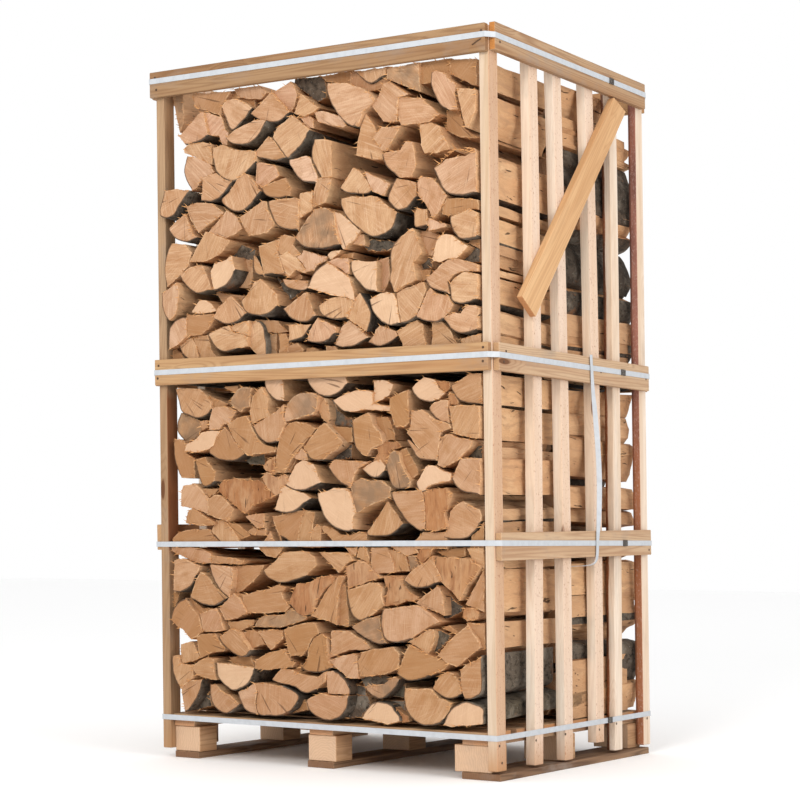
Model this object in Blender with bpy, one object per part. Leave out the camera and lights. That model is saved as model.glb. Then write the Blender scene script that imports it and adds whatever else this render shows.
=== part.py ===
"""Slatted crate of split firewood on a block pallet, strapped four times round.

Metres, +Z up. The origin is on the floor under the middle of the pallet. X runs along the open
front from left to right, and Y runs from the front to the back.
"""
import math
import random

import bmesh
import bpy
from mathutils import Matrix, Vector

MM = 0.001

# Driving dimensions of the crate, in millimetres
WIDTH = 1200.0            # over the posts, along X
DEPTH = 975.0             # over the posts, along Y
HEIGHT = 2130.0           # floor to the top of the top rails
LEAN = -0.0197            # the loaded crate racks to the left by this much for each unit of height
GAP = 0.3                 # between pieces that touch

# Sawn timber of the crate
POST_X = 31.0
POST_Y = 50.0
POST_FOOT = 29.0          # the uprights hang down beside the blocks and stop above the runners
SLAT_Y = 50.0
THICK_SLAT_X = 36.0       # the waney slat next to the back post is cut thicker than the others
RAIL_HEIGHT = 79.0
RAIL_THICK = 20.0
TOP_RAIL_X = (-610.0, 600.0)      # ends of the front and back rails, along X
MIDDLE_RAIL_X = (-602.0, 597.0)
SIDE_RAIL_Y = (-483.0, 472.0)     # ends of the side rails, along Y
MIDDLE_RAIL_TOP = 1234.0
LOWER_RAIL_TOP = 706.0
LOWER_RAIL_TILT = math.radians(0.8)
BRACE_THICK = 21.0
BRACE_CORNERS = ((-347.0, 1375.0), (252.0, 2054.0), (332.0, 2023.0), (-269.0, 1324.0))
ARRIS = 1.6               # broken edge of every board
BOW_CUTS = 5              # a bowed upright is made in one more piece than this
RIGHT_TOP_RISE = 5.5      # the top rail on the right was nailed a little higher than the front one
LEFT_LOWER_RISE = 23.0    # and the lower rail on the left higher than the one on the right

# Pallet
RUNNER_THICK = 20.0
BLOCK_TOP = 97.0
STRINGER_TOP = 116.0
DECK_TOP = 135.0
DECK_BOARDS = 6
DECK_BOARD_WIDTH = 132.0
DECK_FRONT = -478.0
PALLET_FRONT = -470.0
PALLET_BACK = 476.0
LEFT_BLOCK_SHIFT = 36.0   # the middle block of the left row stands this far behind the others

# Straps
STRAP_WIDTH = 16.0
STRAP_THICK = 1.2
STRAP_CLEAR = 0.4
SEAL_LENGTH = 28.0
SEAL_HEIGHT = 19.0
SEAL_THICK = 2.4

# Firewood: two tiers of half-metre logs, laid front to back in courses
COURSES = 18
PILE_FOOT = DECK_TOP + GAP
PILE_TOP = 2052.0
TIER_JOINT = -8.0         # where the two tiers meet, along Y
TIER_GAP = 10.0
END_BASE = 428.0          # the grooves between the log ends lie this far from the middle
LOG_END_SCALE = 0.9       # each log end is this much smaller than its place in the course
END_SKEW = 0.12           # slope of the least square saw cuts

FRONT = -DEPTH / 2
BACK = DEPTH / 2
LEFT = -WIDTH / 2
RIGHT = WIDTH / 2


def material(name, colour, roughness, metallic=0.0):
    """A plain finish with one colour."""
    made = bpy.data.materials.new(name)
    made.use_nodes = True
    shader = made.node_tree.nodes["Principled BSDF"]
    shader.inputs["Base Color"].default_value = (*colour, 1.0)
    shader.inputs["Roughness"].default_value = roughness
    shader.inputs["Metallic"].default_value = metallic
    made.diffuse_color = (*colour, 1.0)
    return made


def add_object(name, mesh_builder, centre, finish):
    """Turns a bmesh built around its centre, in millimetres, into a racked object in metres."""
    for vertex in mesh_builder.verts:
        vertex.co.x += LEAN * vertex.co.z
        vertex.co *= MM
    bmesh.ops.recalc_face_normals(mesh_builder, faces=mesh_builder.faces)
    mesh = bpy.data.meshes.new(name)
    mesh_builder.to_mesh(mesh)
    mesh_builder.free()
    mesh.materials.append(finish)
    made = bpy.data.objects.new(name, mesh)
    made.location = Vector((centre[0] + LEAN * centre[2], centre[1], centre[2])) * MM
    bpy.context.scene.collection.objects.link(made)
    return made


def board(name, x, y, z, finish, turn=None, shift_top=0.0, bow=0.0, wane=None):
    """A sawn board between the given pairs of faces, with broken edges.

    turn tilts it about its centre, shift_top slides its upper end along Y, bow bends the middle of
    an upright along Y, and wane cuts away one long upright edge, given as the side of X and Y it is
    on and its size.
    """
    size = Vector((x[1] - x[0], y[1] - y[0], z[1] - z[0]))
    centre = Vector((x[0] + x[1], y[0] + y[1], z[0] + z[1])) / 2
    shape = bmesh.new()
    bmesh.ops.create_cube(shape, size=1.0, matrix=Matrix.Diagonal((*size, 1.0)))
    if wane:
        side_x, side_y, cut = wane
        edges = [e for e in shape.edges
                 if all(v.co.x * side_x > 0 and v.co.y * side_y > 0 for v in e.verts)]
        bmesh.ops.bevel(shape, geom=edges, offset=cut, segments=1, affect="EDGES")
    sharp = [e for e in shape.edges if e.calc_face_angle(0.0) > math.radians(30)]
    arris = min(ARRIS, min(size) / 5)
    bmesh.ops.bevel(shape, geom=sharp, offset=arris, segments=1, affect="EDGES")
    if bow:
        long_edges = [e for e in shape.edges if abs(e.verts[0].co.z - e.verts[1].co.z) > size.z / 2]
        bmesh.ops.subdivide_edges(shape, edges=long_edges, cuts=BOW_CUTS, use_grid_fill=True)
    for vertex in shape.verts:
        height = vertex.co.z / size.z
        vertex.co.y += shift_top * height + bow * (1.0 - 4.0 * height ** 2)
    if turn:
        bmesh.ops.transform(shape, matrix=turn, verts=shape.verts)
    return add_object(name, shape, centre, finish)


def side_plank(name, x, corners, finish):
    """A board against a side, cut to the given corners (Y, Z), with broken edges."""
    centre = sum((Vector(((x[0] + x[1]) / 2, *corner)) for corner in corners), Vector()) / len(corners)
    shape = bmesh.new()
    near, far = ([shape.verts.new(Vector((side, *corner)) - centre) for corner in corners] for side in x)
    shape.faces.new(near)
    shape.faces.new(far[::-1])
    for i in range(len(corners)):
        j = (i + 1) % len(corners)
        shape.faces.new((near[i], far[i], far[j], near[j]))
    bmesh.ops.bevel(shape, geom=list(shape.edges), offset=ARRIS, segments=1, affect="EDGES")
    return add_object(name, shape, centre, finish)


def band(name, outline, heights, finish):
    """A closed strap that follows the outline of corner points, each at its own height."""
    count = len(outline)
    shape = bmesh.new()
    rings = []
    for offset, edge in ((0, -1), (STRAP_THICK, -1), (STRAP_THICK, 1), (0, 1)):
        ring = []
        for i in range(count):
            here = Vector(outline[i])
            before = (here - Vector(outline[i - 1])).normalized()
            after = (Vector(outline[(i + 1) % count]) - here).normalized()
            out = Vector((before.y + after.y, -before.x - after.x)).normalized()
            reach = offset / max(out.dot(Vector((before.y, -before.x))), 0.3)
            ring.append(shape.verts.new((*(here + out * reach), heights[i] + edge * STRAP_WIDTH / 2)))
        rings.append(ring)
    for r in range(4):
        for i in range(count):
            j = (i + 1) % count
            s = (r + 1) % 4
            shape.faces.new((rings[r][i], rings[r][j], rings[s][j], rings[s][i]))
    bmesh.ops.triangulate(shape, faces=shape.faces)
    return add_object(name, shape, (0.0, 0.0, 0.0), finish)


def ribbon(name, points, faces_to, finish):
    """A loose flat strap along the points, turned at each so that its flat faces a direction."""
    shape = bmesh.new()
    rings = []
    for i, point in enumerate(points):
        here = Vector(point)
        ahead = Vector(points[min(i + 1, len(points) - 1)])
        behind = Vector(points[max(i - 1, 0)])
        along = (ahead - behind).normalized()
        flat = Vector(faces_to[i])
        flat = (flat - along * flat.dot(along)).normalized()
        across = along.cross(flat)
        corners = ((-1, -1), (1, -1), (1, 1), (-1, 1))
        rings.append([shape.verts.new(here + across * (a * STRAP_WIDTH / 2) + flat * (b * STRAP_THICK / 2))
                      for a, b in corners])
    for lower, upper in zip(rings, rings[1:]):
        for i in range(4):
            j = (i + 1) % 4
            shape.faces.new((lower[i], lower[j], upper[j], upper[i]))
    shape.faces.new(rings[0])
    shape.faces.new(rings[-1])
    return add_object(name, shape, (0.0, 0.0, 0.0), finish)


def smooth_route(points, steps):
    """Points on a Catmull-Rom curve through the route, with some steps between each pair."""
    padded = [points[0], *points, points[-1]]
    route = []
    for a, b, c, d in zip(padded, padded[1:], padded[2:], padded[3:]):
        for k in range(steps):
            t = k / steps
            route.append(tuple(
                0.5 * (2 * q + (r - p) * t + (2 * p - 5 * q + 4 * r - s) * t ** 2
                       + (3 * q - p - 3 * r + s) * t ** 3)
                for p, q, r, s in zip(a, b, c, d)))
    route.append(tuple(points[-1]))
    return route


def course_joints(rng, left, right, below):
    """Places across one course where two logs meet, clear of the joints in the course below."""
    joints = [left]
    while right - joints[-1] > 190:
        step = joints[-1] + rng.uniform(88, 158)
        while any(abs(step - other) < 14 for other in below):
            step += 9
        joints.append(step)
    joints.append(right)
    return joints


def pile_sheet(shape, rng, left_edges, right_edges, y):
    """A flat mosaic with one many-sided face for each log end, in courses."""
    heights = [PILE_FOOT + (PILE_TOP - PILE_FOOT) * i / COURSES for i in range(COURSES + 1)]
    joints = []
    for i in range(COURSES):
        joints.append(course_joints(rng, left_edges[i], right_edges[i], joints[-1] if joints else []))
    levels = []
    for i, height in enumerate(heights):
        places = sorted((joints[i - 1] if i > 0 else []) + (joints[i] if i < COURSES else []))
        rise = 0.0 if i == 0 else 17.0
        levels.append([(x, shape.verts.new((x, y, height + rng.uniform(-rise, rise)))) for x in places])
    for i in range(COURSES):
        for x0, x1 in zip(joints[i], joints[i][1:]):
            low = [v for x, v in levels[i] if x0 <= x <= x1]
            high = [v for x, v in levels[i + 1] if x0 <= x <= x1]
            shape.faces.new(low + high[::-1])


def tier(name, seed, left_edges, right_edges, inner, side, finish):
    """One tier of firewood as a closed solid, with the relief of its log ends on the open side."""
    rng = random.Random(seed)
    shape = bmesh.new()
    pile_sheet(shape, rng, left_edges, right_edges, inner)
    extruded = bmesh.ops.extrude_face_region(shape, geom=list(shape.faces))["geom"]
    ends = [f for f in extruded if isinstance(f, bmesh.types.BMFace)]
    outer_verts = {v for f in ends for v in f.verts}
    hidden = [f for f in shape.faces if all(v not in outer_verts for v in f.verts)]
    for vertex in outer_verts:
        vertex.co.y = side * END_BASE
    bmesh.ops.dissolve_faces(shape, faces=hidden)
    bmesh.ops.recalc_face_normals(shape, faces=shape.faces)
    bmesh.ops.inset_individual(shape, faces=ends, thickness=0.5, depth=0.0)
    for end in ends:
        middle = end.calc_center_median()
        low = min(v.co.z for v in end.verts)
        high = max(v.co.z for v in end.verts)
        held = any(low < top and high > bottom for bottom, top in HELD_LEVELS)
        reach = rng.uniform(444, 474) if held else rng.uniform(446, 514)
        skew_x = rng.uniform(-END_SKEW, END_SKEW)
        skew_z = rng.uniform(-END_SKEW, END_SKEW)
        for vertex in end.verts:
            offset = (vertex.co - middle) * LOG_END_SCALE
            vertex.co = middle + offset
            vertex.co.y = side * (reach + skew_x * offset.x + skew_z * offset.z)
    return add_object(name, shape, (0.0, 0.0, 0.0), finish)


def pallet(deal, weathered):
    """Runners, blocks, stringers and deck boards."""
    columns = {"left": (-568.7, -473.0), "middle": (-63.0, 37.0), "right": (446.0, 568.7)}
    runners = {"left": (-567.0, -475.0), "middle": (-64.0, 30.0), "right": (472.0, 600.0)}
    stringers = {"left": (-568.7, -490.0), "middle": (-56.0, 28.0), "right": (475.0, 560.0)}
    rows = {"front": (-465.0, -380.0), "middle": (-62.0, 35.0), "back": (391.0, 476.0)}
    for side, x in runners.items():
        board(f"runner_{side}", x, (PALLET_FRONT, PALLET_BACK), (0.0, RUNNER_THICK), weathered)
    for side, x in columns.items():
        for row, y in rows.items():
            shift = LEFT_BLOCK_SHIFT if (side, row) == ("left", "middle") else 0.0
            board(f"block_{side}_{row}", x, (y[0] + shift, y[1] + shift),
                  (RUNNER_THICK + GAP, BLOCK_TOP), deal)
    for side, x in stringers.items():
        board(f"stringer_{side}", x, (PALLET_FRONT, PALLET_BACK), (BLOCK_TOP + GAP, STRINGER_TOP), weathered)
    pitch = (-2 * DECK_FRONT - DECK_BOARD_WIDTH) / (DECK_BOARDS - 1)
    for i in range(DECK_BOARDS):
        y = DECK_FRONT + i * pitch
        board(f"deck_board_{i + 1}", (LEFT + POST_X + GAP, RIGHT - THICK_SLAT_X - GAP),
              (y, y + DECK_BOARD_WIDTH), (STRINGER_TOP + GAP, DECK_TOP), deal)


def uprights(cream, waney):
    """Four corner posts and four slats on each side."""
    z = (POST_FOOT, HEIGHT - 2.0)
    left_x = (LEFT, LEFT + POST_X)
    right_x = (RIGHT - POST_X, RIGHT)
    front_y = (FRONT, FRONT + POST_Y)
    back_y = (BACK - POST_Y, BACK)
    board("post_front_left", left_x, front_y, z, cream)
    board("post_front_right", right_x, front_y, z, cream)
    board("post_back_left", left_x, back_y, z, cream)
    board("post_back_right", right_x, back_y, z, waney, wane=(-1, -1, 11.0))
    # For each slat: its front face, how far its top stands behind its foot, its bow, its foot height
    slats = ((-263.0, 16.0, 12.0, 28.0), (-99.0, -25.0, 14.0, 26.0), (105.0, -23.0, 13.0, 62.0),
             (247.0, 14.0, 9.0, 28.0))
    for i, (start, slope, bow, foot) in enumerate(slats):
        last = i == len(slats) - 1
        board(f"slat_right_{i + 1}", (RIGHT - (THICK_SLAT_X if last else POST_X), RIGHT),
              (start, start + SLAT_Y), (foot, HEIGHT - 4.0), waney if last else cream,
              shift_top=slope, bow=bow, wane=(-1, -1, 13.0) if last else None)
    # Seen under the deck, the first slat on the left stands further forward and the second ends higher
    left_slats = ((-297.0, POST_FOOT), (-95.0, 118.0), (112.0, POST_FOOT), (246.0, POST_FOOT))
    for i, (start, foot) in enumerate(left_slats):
        board(f"slat_left_{i + 1}", (LEFT, LEFT + POST_X), (start, start + SLAT_Y),
              (foot, HEIGHT - 4.0), cream)


def rails(tan):
    """Boards nailed round the outside of the uprights, and the brace across the right side."""
    top = (HEIGHT - RAIL_HEIGHT, HEIGHT)
    middle = (MIDDLE_RAIL_TOP - RAIL_HEIGHT, MIDDLE_RAIL_TOP)
    lower = (LOWER_RAIL_TOP - RAIL_HEIGHT, LOWER_RAIL_TOP)
    front_y = (FRONT - RAIL_THICK, FRONT - GAP)
    back_y = (BACK + GAP, BACK + RAIL_THICK)
    for level, z, x in (("top", top, TOP_RAIL_X), ("middle", middle, MIDDLE_RAIL_X)):
        board(f"rail_front_{level}", x, front_y, z, tan)
        board(f"rail_back_{level}", x, back_y, z, tan)
    tilt = Matrix.Rotation(LOWER_RAIL_TILT, 4, "X")
    for level, z, turn in (("top", top, None), ("middle", middle, None), ("lower", lower, tilt)):
        rise = RIGHT_TOP_RISE if level == "top" else 0.0
        raised = (z[0] + rise, z[1] + rise)
        board(f"rail_right_{level}", (RIGHT + GAP, RIGHT + RAIL_THICK), SIDE_RAIL_Y, raised, tan,
              turn=turn)
        rise = LEFT_LOWER_RISE if level == "lower" else 0.0
        raised = (z[0] + rise, z[1] + rise)
        board(f"rail_left_{level}", (LEFT - RAIL_THICK, LEFT - GAP), SIDE_RAIL_Y, raised, tan, turn=turn)
    side_plank("brace_right", (RIGHT + GAP, RIGHT + BRACE_THICK), BRACE_CORNERS, tan)


def straps(plastic, steel):
    """Four plastic straps with a crimped seal each, and the loose tail of the second one."""
    c = STRAP_CLEAR
    side = RIGHT + RAIL_THICK + c
    post_front = FRONT - c

    def round_rails(left, right, front):
        """Corners of a strap that leaves the front at left and right and bends to the side rails."""
        quarter = ((-side, SIDE_RAIL_Y[0]), (left, front), (right, front), (side, SIDE_RAIL_Y[0]))
        behind = ((side, SIDE_RAIL_Y[1]), (right, -front), (left, -front), (-side, SIDE_RAIL_Y[1]))
        return quarter + behind

    top = round_rails(TOP_RAIL_X[0], TOP_RAIL_X[1], post_front - RAIL_THICK)
    middle = round_rails(MIDDLE_RAIL_X[0], MIDDLE_RAIL_X[1], post_front - RAIL_THICK)
    lower = round_rails(LEFT, RIGHT, post_front)
    bare = ((LEFT - c, post_front), (RIGHT + c, post_front), (RIGHT + c, -post_front), (LEFT - c, -post_front))
    on_rail = side + STRAP_THICK + GAP
    on_slat = RIGHT + c + STRAP_THICK + GAP
    # Heights of each strap at the front left, front right, back right and back left corner
    for name, outline, heights, seal_y, seal_x in (
            ("top", top, (2101.5, 2097.5, 2101.0, 2101.0), 232.0, on_rail),
            ("middle", middle, (1194.0, 1199.0, 1202.0, 1197.0), 285.0, on_rail),
            ("lower", lower, (661.0, 670.0, 670.5, 664.0), 283.0, on_rail),
            ("bottom", bare, (125.0, 122.0, 127.0, 124.0), 203.0, on_slat)):
        each = len(outline) // 4
        band(f"strap_{name}", outline, [z for z in heights for _ in range(each)], plastic)
        share = (seal_y - FRONT) / DEPTH
        z = heights[1] + (heights[2] - heights[1]) * share
        board(f"seal_{name}", (seal_x, seal_x + SEAL_THICK),
              (seal_y - SEAL_LENGTH / 2, seal_y + SEAL_LENGTH / 2),
              (z - SEAL_HEIGHT / 2, z + SEAL_HEIGHT / 2), steel)
    # The tail hangs from the middle strap, passes in front of the lower rail and tucks in behind a slat
    route = ((624.0, 66.0, 1240.0), (624.0, 70.0, 1195.0), (624.5, 75.0, 1130.0), (626.0, 86.0, 1050.0),
             (627.5, 96.0, 960.0), (629.0, 100.0, 860.0), (627.5, 98.0, 760.0), (624.6, 94.0, 690.0),
             (623.4, 91.0, 636.0), (619.5, 87.0, 614.0), (609.0, 80.0, 605.0), (595.0, 68.0, 602.0),
             (580.0, 48.0, 601.0), (567.0, 20.0, 600.0), (560.5, -12.0, 599.0), (559.0, -44.0, 598.0))
    facing = ((1, 0, 0), (1, 0, 0), (1, -0.25, 0), (1, -0.75, 0), (1, -1.1, 0), (1, -1.2, 0), (1, -0.7, 0),
              (1, -0.1, 0), (1, 0, 0), (0.6, 0, -0.8), (0.25, -0.2, -1), (0.1, -0.1, -1),
              (0, 0, -1), (0, 0, -1), (0, 0, -1), (0, 0, -1))
    ribbon("strap_tail", smooth_route(route, 2), smooth_route(facing, 2), plastic)


def firewood(wood):
    """Both tiers, each with its own stepped left and right edge, given course by course."""
    left = (-552, -555, -532, -548, -542, -514, -505, -520, -528, -536, -550, -556, -552, -550, -548,
            -496, -502, -548)
    right_front = (556, 560, 552, 558, 546, 556, 550, 560, 548, 558, 552, 560, 554, 548, 560, 556, 550, 556)
    right_back = (560, 555, 528, 545, 505, 545, 558, 545, 520, 560, 556, 540, 548, 558, 522, 552, 502, 556)
    tier("firewood_front", 7, left, right_front, TIER_JOINT - TIER_GAP / 2, -1, wood)
    tier("firewood_back", 12, left[::-1], right_back, TIER_JOINT + TIER_GAP / 2, 1, wood)


for old in list(bpy.data.objects):
    bpy.data.objects.remove(old, do_unlink=True)

# Heights where rails or the lower strap cross the log ends and hold them back
HELD_LEVELS = ((LOWER_RAIL_TOP - RAIL_HEIGHT, LOWER_RAIL_TOP - 20.0),
               (MIDDLE_RAIL_TOP - RAIL_HEIGHT, MIDDLE_RAIL_TOP),
               (HEIGHT - RAIL_HEIGHT, HEIGHT))

cream_pine = material("cream_pine", (0.72, 0.55, 0.38), 0.7)
tan_pine = material("tan_pine", (0.60, 0.40, 0.22), 0.7)
waney_pine = material("waney_pine", (0.50, 0.30, 0.18), 0.8)
block_pine = material("block_pine", (0.62, 0.42, 0.25), 0.75)
weathered_pine = material("weathered_pine", (0.40, 0.27, 0.17), 0.85)
split_beech = material("split_beech", (0.60, 0.34, 0.17), 0.8)
white_strap = material("white_strap", (0.80, 0.80, 0.80), 0.35)
seal_steel = material("seal_steel", (0.10, 0.10, 0.11), 0.45, 0.9)

pallet(block_pine, weathered_pine)
uprights(cream_pine, waney_pine)
rails(tan_pine)
straps(white_strap, seal_steel)
firewood(split_beech)
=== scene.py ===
# %% [markdown]
# # A pallet of firewood
#
# Half-metre split logs fill a slatted timber crate on a block pallet. The CAD part gives every board,
# strap and seal its place and size. This script gives them their looks, and it turns the two solid
# stacks of firewood into single logs. Each cell explains one piece or one finish.

import math

import bmesh
import bpy
import numpy as np
from mathutils import Matrix, Vector, noise


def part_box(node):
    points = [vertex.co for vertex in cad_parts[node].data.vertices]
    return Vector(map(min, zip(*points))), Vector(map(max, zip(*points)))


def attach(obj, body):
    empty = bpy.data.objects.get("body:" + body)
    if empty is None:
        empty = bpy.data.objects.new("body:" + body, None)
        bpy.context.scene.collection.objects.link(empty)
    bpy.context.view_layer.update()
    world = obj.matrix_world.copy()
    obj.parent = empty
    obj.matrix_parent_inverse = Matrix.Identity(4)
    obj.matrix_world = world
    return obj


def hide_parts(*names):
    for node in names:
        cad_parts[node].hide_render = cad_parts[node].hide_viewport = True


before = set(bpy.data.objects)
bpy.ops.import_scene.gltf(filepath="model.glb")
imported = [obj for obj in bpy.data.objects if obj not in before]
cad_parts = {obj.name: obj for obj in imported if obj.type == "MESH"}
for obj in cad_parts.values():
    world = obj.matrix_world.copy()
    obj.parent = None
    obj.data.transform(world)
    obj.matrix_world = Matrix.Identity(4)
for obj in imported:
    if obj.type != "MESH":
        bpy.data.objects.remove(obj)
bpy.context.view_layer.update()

MM = 0.001
LEAN = -0.0197


def leaning(x, y, z):
    """Place in the scene, in metres, of a point given in millimetres before the crate leans."""
    return Vector((x + LEAN * z, y, z)) * MM


# %% [markdown]
# ## Camera
#
# The photograph was taken from the right, at the height of the crate's lower half, with upright lines
# kept parallel. A level camera with its lens shifted upwards gives the same picture: tilting the camera
# instead would make the posts lean towards each other.

# %% Camera
CAMERA_PLACE = (3.5024, -5.5167, 0.6822)
VIEW_TURN = math.radians(32.719)
VIEW_ROLL = math.radians(0.235)
LENS = 93.24
LENS_RISE = 0.173

camera = bpy.data.objects.new("camera", bpy.data.cameras.new("camera"))
bpy.context.scene.collection.objects.link(camera)
camera.data.lens = LENS
camera.data.sensor_width = 36.0
camera.data.shift_y = LENS_RISE
facing = Matrix.Rotation(VIEW_TURN, 4, "Z") @ Matrix.Rotation(math.radians(90), 4, "X")
facing = facing @ Matrix.Rotation(VIEW_ROLL, 4, "Z")
camera.matrix_world = Matrix.Translation(CAMERA_PLACE) @ facing
bpy.context.scene.camera = camera
print("camera at", CAMERA_PLACE, "with a", LENS, "mm lens")

# %% [markdown]
# ## Floor and light
#
# A wide pale floor and a white sky give the even light of a cut-out picture. A large soft lamp high in
# front brings out the log ends and the dark gaps between them. A second one lights the slatted side.

# %% Floor and light
FLOOR_COLOUR = "FBFBFB"


def linear(hex_colour):
    """One sRGB colour such as C8A078 as the linear red, green, blue and alpha that Blender works in."""
    parts = [int(hex_colour[i:i + 2], 16) / 255 for i in (0, 2, 4)]
    return tuple(c / 12.92 if c <= 0.04045 else ((c + 0.055) / 1.055) ** 2.4 for c in parts) + (1.0,)


def lamp(name, place, aim, size, power, colour):
    """One square area lamp that looks at a point."""
    light = bpy.data.lights.new(name, "AREA")
    light.shape = "SQUARE"
    light.size = size
    light.energy = power
    light.color = linear(colour)[:3]
    holder = bpy.data.objects.new(name, light)
    bpy.context.scene.collection.objects.link(holder)
    holder.location = place
    holder.rotation_euler = (Vector(aim) - Vector(place)).to_track_quat("-Z", "Y").to_euler()
    return holder


world = bpy.data.worlds.new("pale_sky")
world.use_nodes = True
world.node_tree.nodes["Background"].inputs["Color"].default_value = linear("FFFFFF")
world.node_tree.nodes["Background"].inputs["Strength"].default_value = 1.0
bpy.context.scene.world = world
bpy.context.scene.view_settings.view_transform = "Standard"
lamp("key_light", (1.9, -7.2, 4.1), (0, 0, 1.1), 2.0, 260, "FFFCF8")
lamp("side_light", (5.8, -2.2, 2.6), (0, 0, 1.0), 2.4, 95, "FFFCF8")

floor_mesh = bpy.data.meshes.new("floor")
floor_mesh.from_pydata([(-20, -20, 0), (20, -20, 0), (20, 20, 0), (-20, 20, 0)], [], [(0, 1, 2, 3)])
floor = bpy.data.objects.new("floor", floor_mesh)
bpy.context.scene.collection.objects.link(floor)
floor_paint = bpy.data.materials.new("pale_floor")
floor_paint.use_nodes = True
floor_paint.node_tree.nodes["Principled BSDF"].inputs["Base Color"].default_value = linear(FLOOR_COLOUR)
floor_paint.node_tree.nodes["Principled BSDF"].inputs["Roughness"].default_value = 0.9
floor_mesh.materials.append(floor_paint)
print("floor, sky and two lamps are in")

# %% [markdown]
# ## The loose strap tail
#
# The end of the second strap was never cut off. It hangs down outside the slats, passes in front of the
# lower rail and tucks in behind the second slat. It is a flat plastic ribbon, 16 mm wide, so its mesh is
# a flat band drawn along its route, and the CAD ribbon is hidden.

# %% Strap tail
TAIL_ROUTE = (
    (624.0, 66.0, 1240.0), (624.0, 70.0, 1195.0), (624.5, 75.0, 1130.0), (626.0, 86.0, 1050.0),
    (627.5, 96.0, 960.0), (629.0, 100.0, 860.0), (627.5, 98.0, 760.0), (624.6, 94.0, 690.0),
    (623.4, 91.0, 636.0), (619.5, 87.0, 614.0), (609.0, 80.0, 605.0), (595.0, 68.0, 602.0),
    (580.0, 48.0, 601.0), (567.0, 20.0, 600.0), (560.5, -12.0, 599.0), (559.0, -44.0, 598.0),
)
TAIL_FACING = (
    (1, 0, 0), (1, 0, 0), (1, -0.25, 0), (1, -0.75, 0), (1, -1.1, 0), (1, -1.2, 0), (1, -0.7, 0),
    (1, -0.1, 0), (1, 0, 0), (0.6, 0, -0.8), (0.25, -0.2, -1), (0.1, -0.1, -1), (0, 0, -1), (0, 0, -1),
    (0, 0, -1), (0, 0, -1),
)
STRAP_WIDTH = 16.0
STRAP_THICK = 1.2


def smooth_route(points, steps):
    """A soft curve through the points, as a list of vectors."""
    known = [Vector(p) for p in points]
    known = [2 * known[0] - known[1]] + known + [2 * known[-1] - known[-2]]
    made = []
    for a, b, c, d in zip(known, known[1:], known[2:], known[3:]):
        for k in range(steps):
            t = k / steps
            made.append(0.5 * (2 * b + (c - a) * t + (2 * a - 5 * b + 4 * c - d) * t * t
                               + (3 * b - a - 3 * c + d) * t ** 3))
    return made + [known[-2]]


def ribbon(name, route, faces_to, width, thick):
    """A flat band along the route, its broad side turned to the given directions."""
    shape = bmesh.new()
    rings = []
    for i, here in enumerate(route):
        along = (route[min(i + 1, len(route) - 1)] - route[max(i - 1, 0)]).normalized()
        out = faces_to[i] - faces_to[i].dot(along) * along
        out.normalize()
        side = along.cross(out)
        corners = ((-1, -1), (1, -1), (1, 1), (-1, 1))
        rings.append([shape.verts.new(leaning(*(here + side * (a * width / 2) + out * (b * thick / 2))))
                      for a, b in corners])
    for near, far in zip(rings, rings[1:]):
        for k in range(4):
            shape.faces.new((near[k], near[(k + 1) % 4], far[(k + 1) % 4], far[k]))
    shape.faces.new(rings[0])
    shape.faces.new(rings[-1][::-1])
    bmesh.ops.recalc_face_normals(shape, faces=shape.faces)
    return piece_from(shape, name)


def piece_from(shape, name):
    """One object of the finished piece, at the origin, from a bmesh."""
    mesh = bpy.data.meshes.new(name)
    shape.to_mesh(mesh)
    shape.free()
    made = bpy.data.objects.new(name, mesh)
    bpy.context.scene.collection.objects.link(made)
    return made


tail_line = smooth_route(TAIL_ROUTE, 6)
tail = ribbon("loose_strap_tail", tail_line, smooth_route(TAIL_FACING, 6), STRAP_WIDTH, STRAP_THICK)
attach(tail, "root")
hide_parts("strap_tail")

# %% [markdown]
# ## Adding shader nodes
#
# Every finish below is a small network of shader nodes. One helper adds a node, gives it its settings
# and fills its inputs, either with a value or with the output of another node.

# %% A helper for shader nodes
def node(owner, kind, inputs=None, **settings):
    """Adds one node to a material or a geometry tree; inputs are values, or sockets to link."""
    tree = getattr(owner, "node_tree", owner)
    added = tree.nodes.new(kind)
    for name, value in settings.items():
        setattr(added, name, value)
    for name, value in (inputs or {}).items():
        if isinstance(value, bpy.types.NodeSocket):
            tree.links.new(value, added.inputs[name])
        else:
            added.inputs[name].default_value = value
    return added


RAW_WOOD = {"IOR": 1.45, "Specular IOR Level": 0.25}


def finish_named(name, roughness, values=None):
    """A new material; its surface starts from the typical values of raw wood."""
    made = bpy.data.materials.new(name)
    made.use_nodes = True
    surface = made.node_tree.nodes["Principled BSDF"]
    for label, value in {"Roughness": roughness, **RAW_WOOD, **(values or {})}.items():
        surface.inputs[label].default_value = value
    return made


def lay_on(material, colour, relief=None, strength=0.0, depth=0.0):
    """Feeds a colour, and a relief with its depth in millimetres, to the material's surface."""
    surface = material.node_tree.nodes["Principled BSDF"]
    material.node_tree.links.new(colour, surface.inputs["Base Color"])
    if relief:
        bump = node(material, "ShaderNodeBump",
                    {"Strength": strength, "Distance": depth * MM, "Height": relief})
        material.node_tree.links.new(bump.outputs[0], surface.inputs["Normal"])


def point_on(material):
    """The place of the point that is shaded, on the object."""
    return node(material, "ShaderNodeTexCoord").outputs["Object"]


def facing_of(material):
    """The way in which the surface faces there."""
    return node(material, "ShaderNodeTexCoord").outputs["Normal"]


def carried(material, attribute, part="Vector"):
    """A vector, or with Fac a number, that each log carries on its mesh."""
    return node(material, "ShaderNodeAttribute", attribute_name=attribute).outputs[part]


def parts_of(material, vector):
    """The three numbers of a vector, one socket each."""
    return node(material, "ShaderNodeSeparateXYZ", {0: vector}).outputs


def turned_by(material, vector, turn):
    """A vector turned round the three axes in order."""
    return node(material, "ShaderNodeVectorRotate", {"Vector": vector, "Rotation": turn},
                rotation_type="EULER_XYZ").outputs[0]


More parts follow.
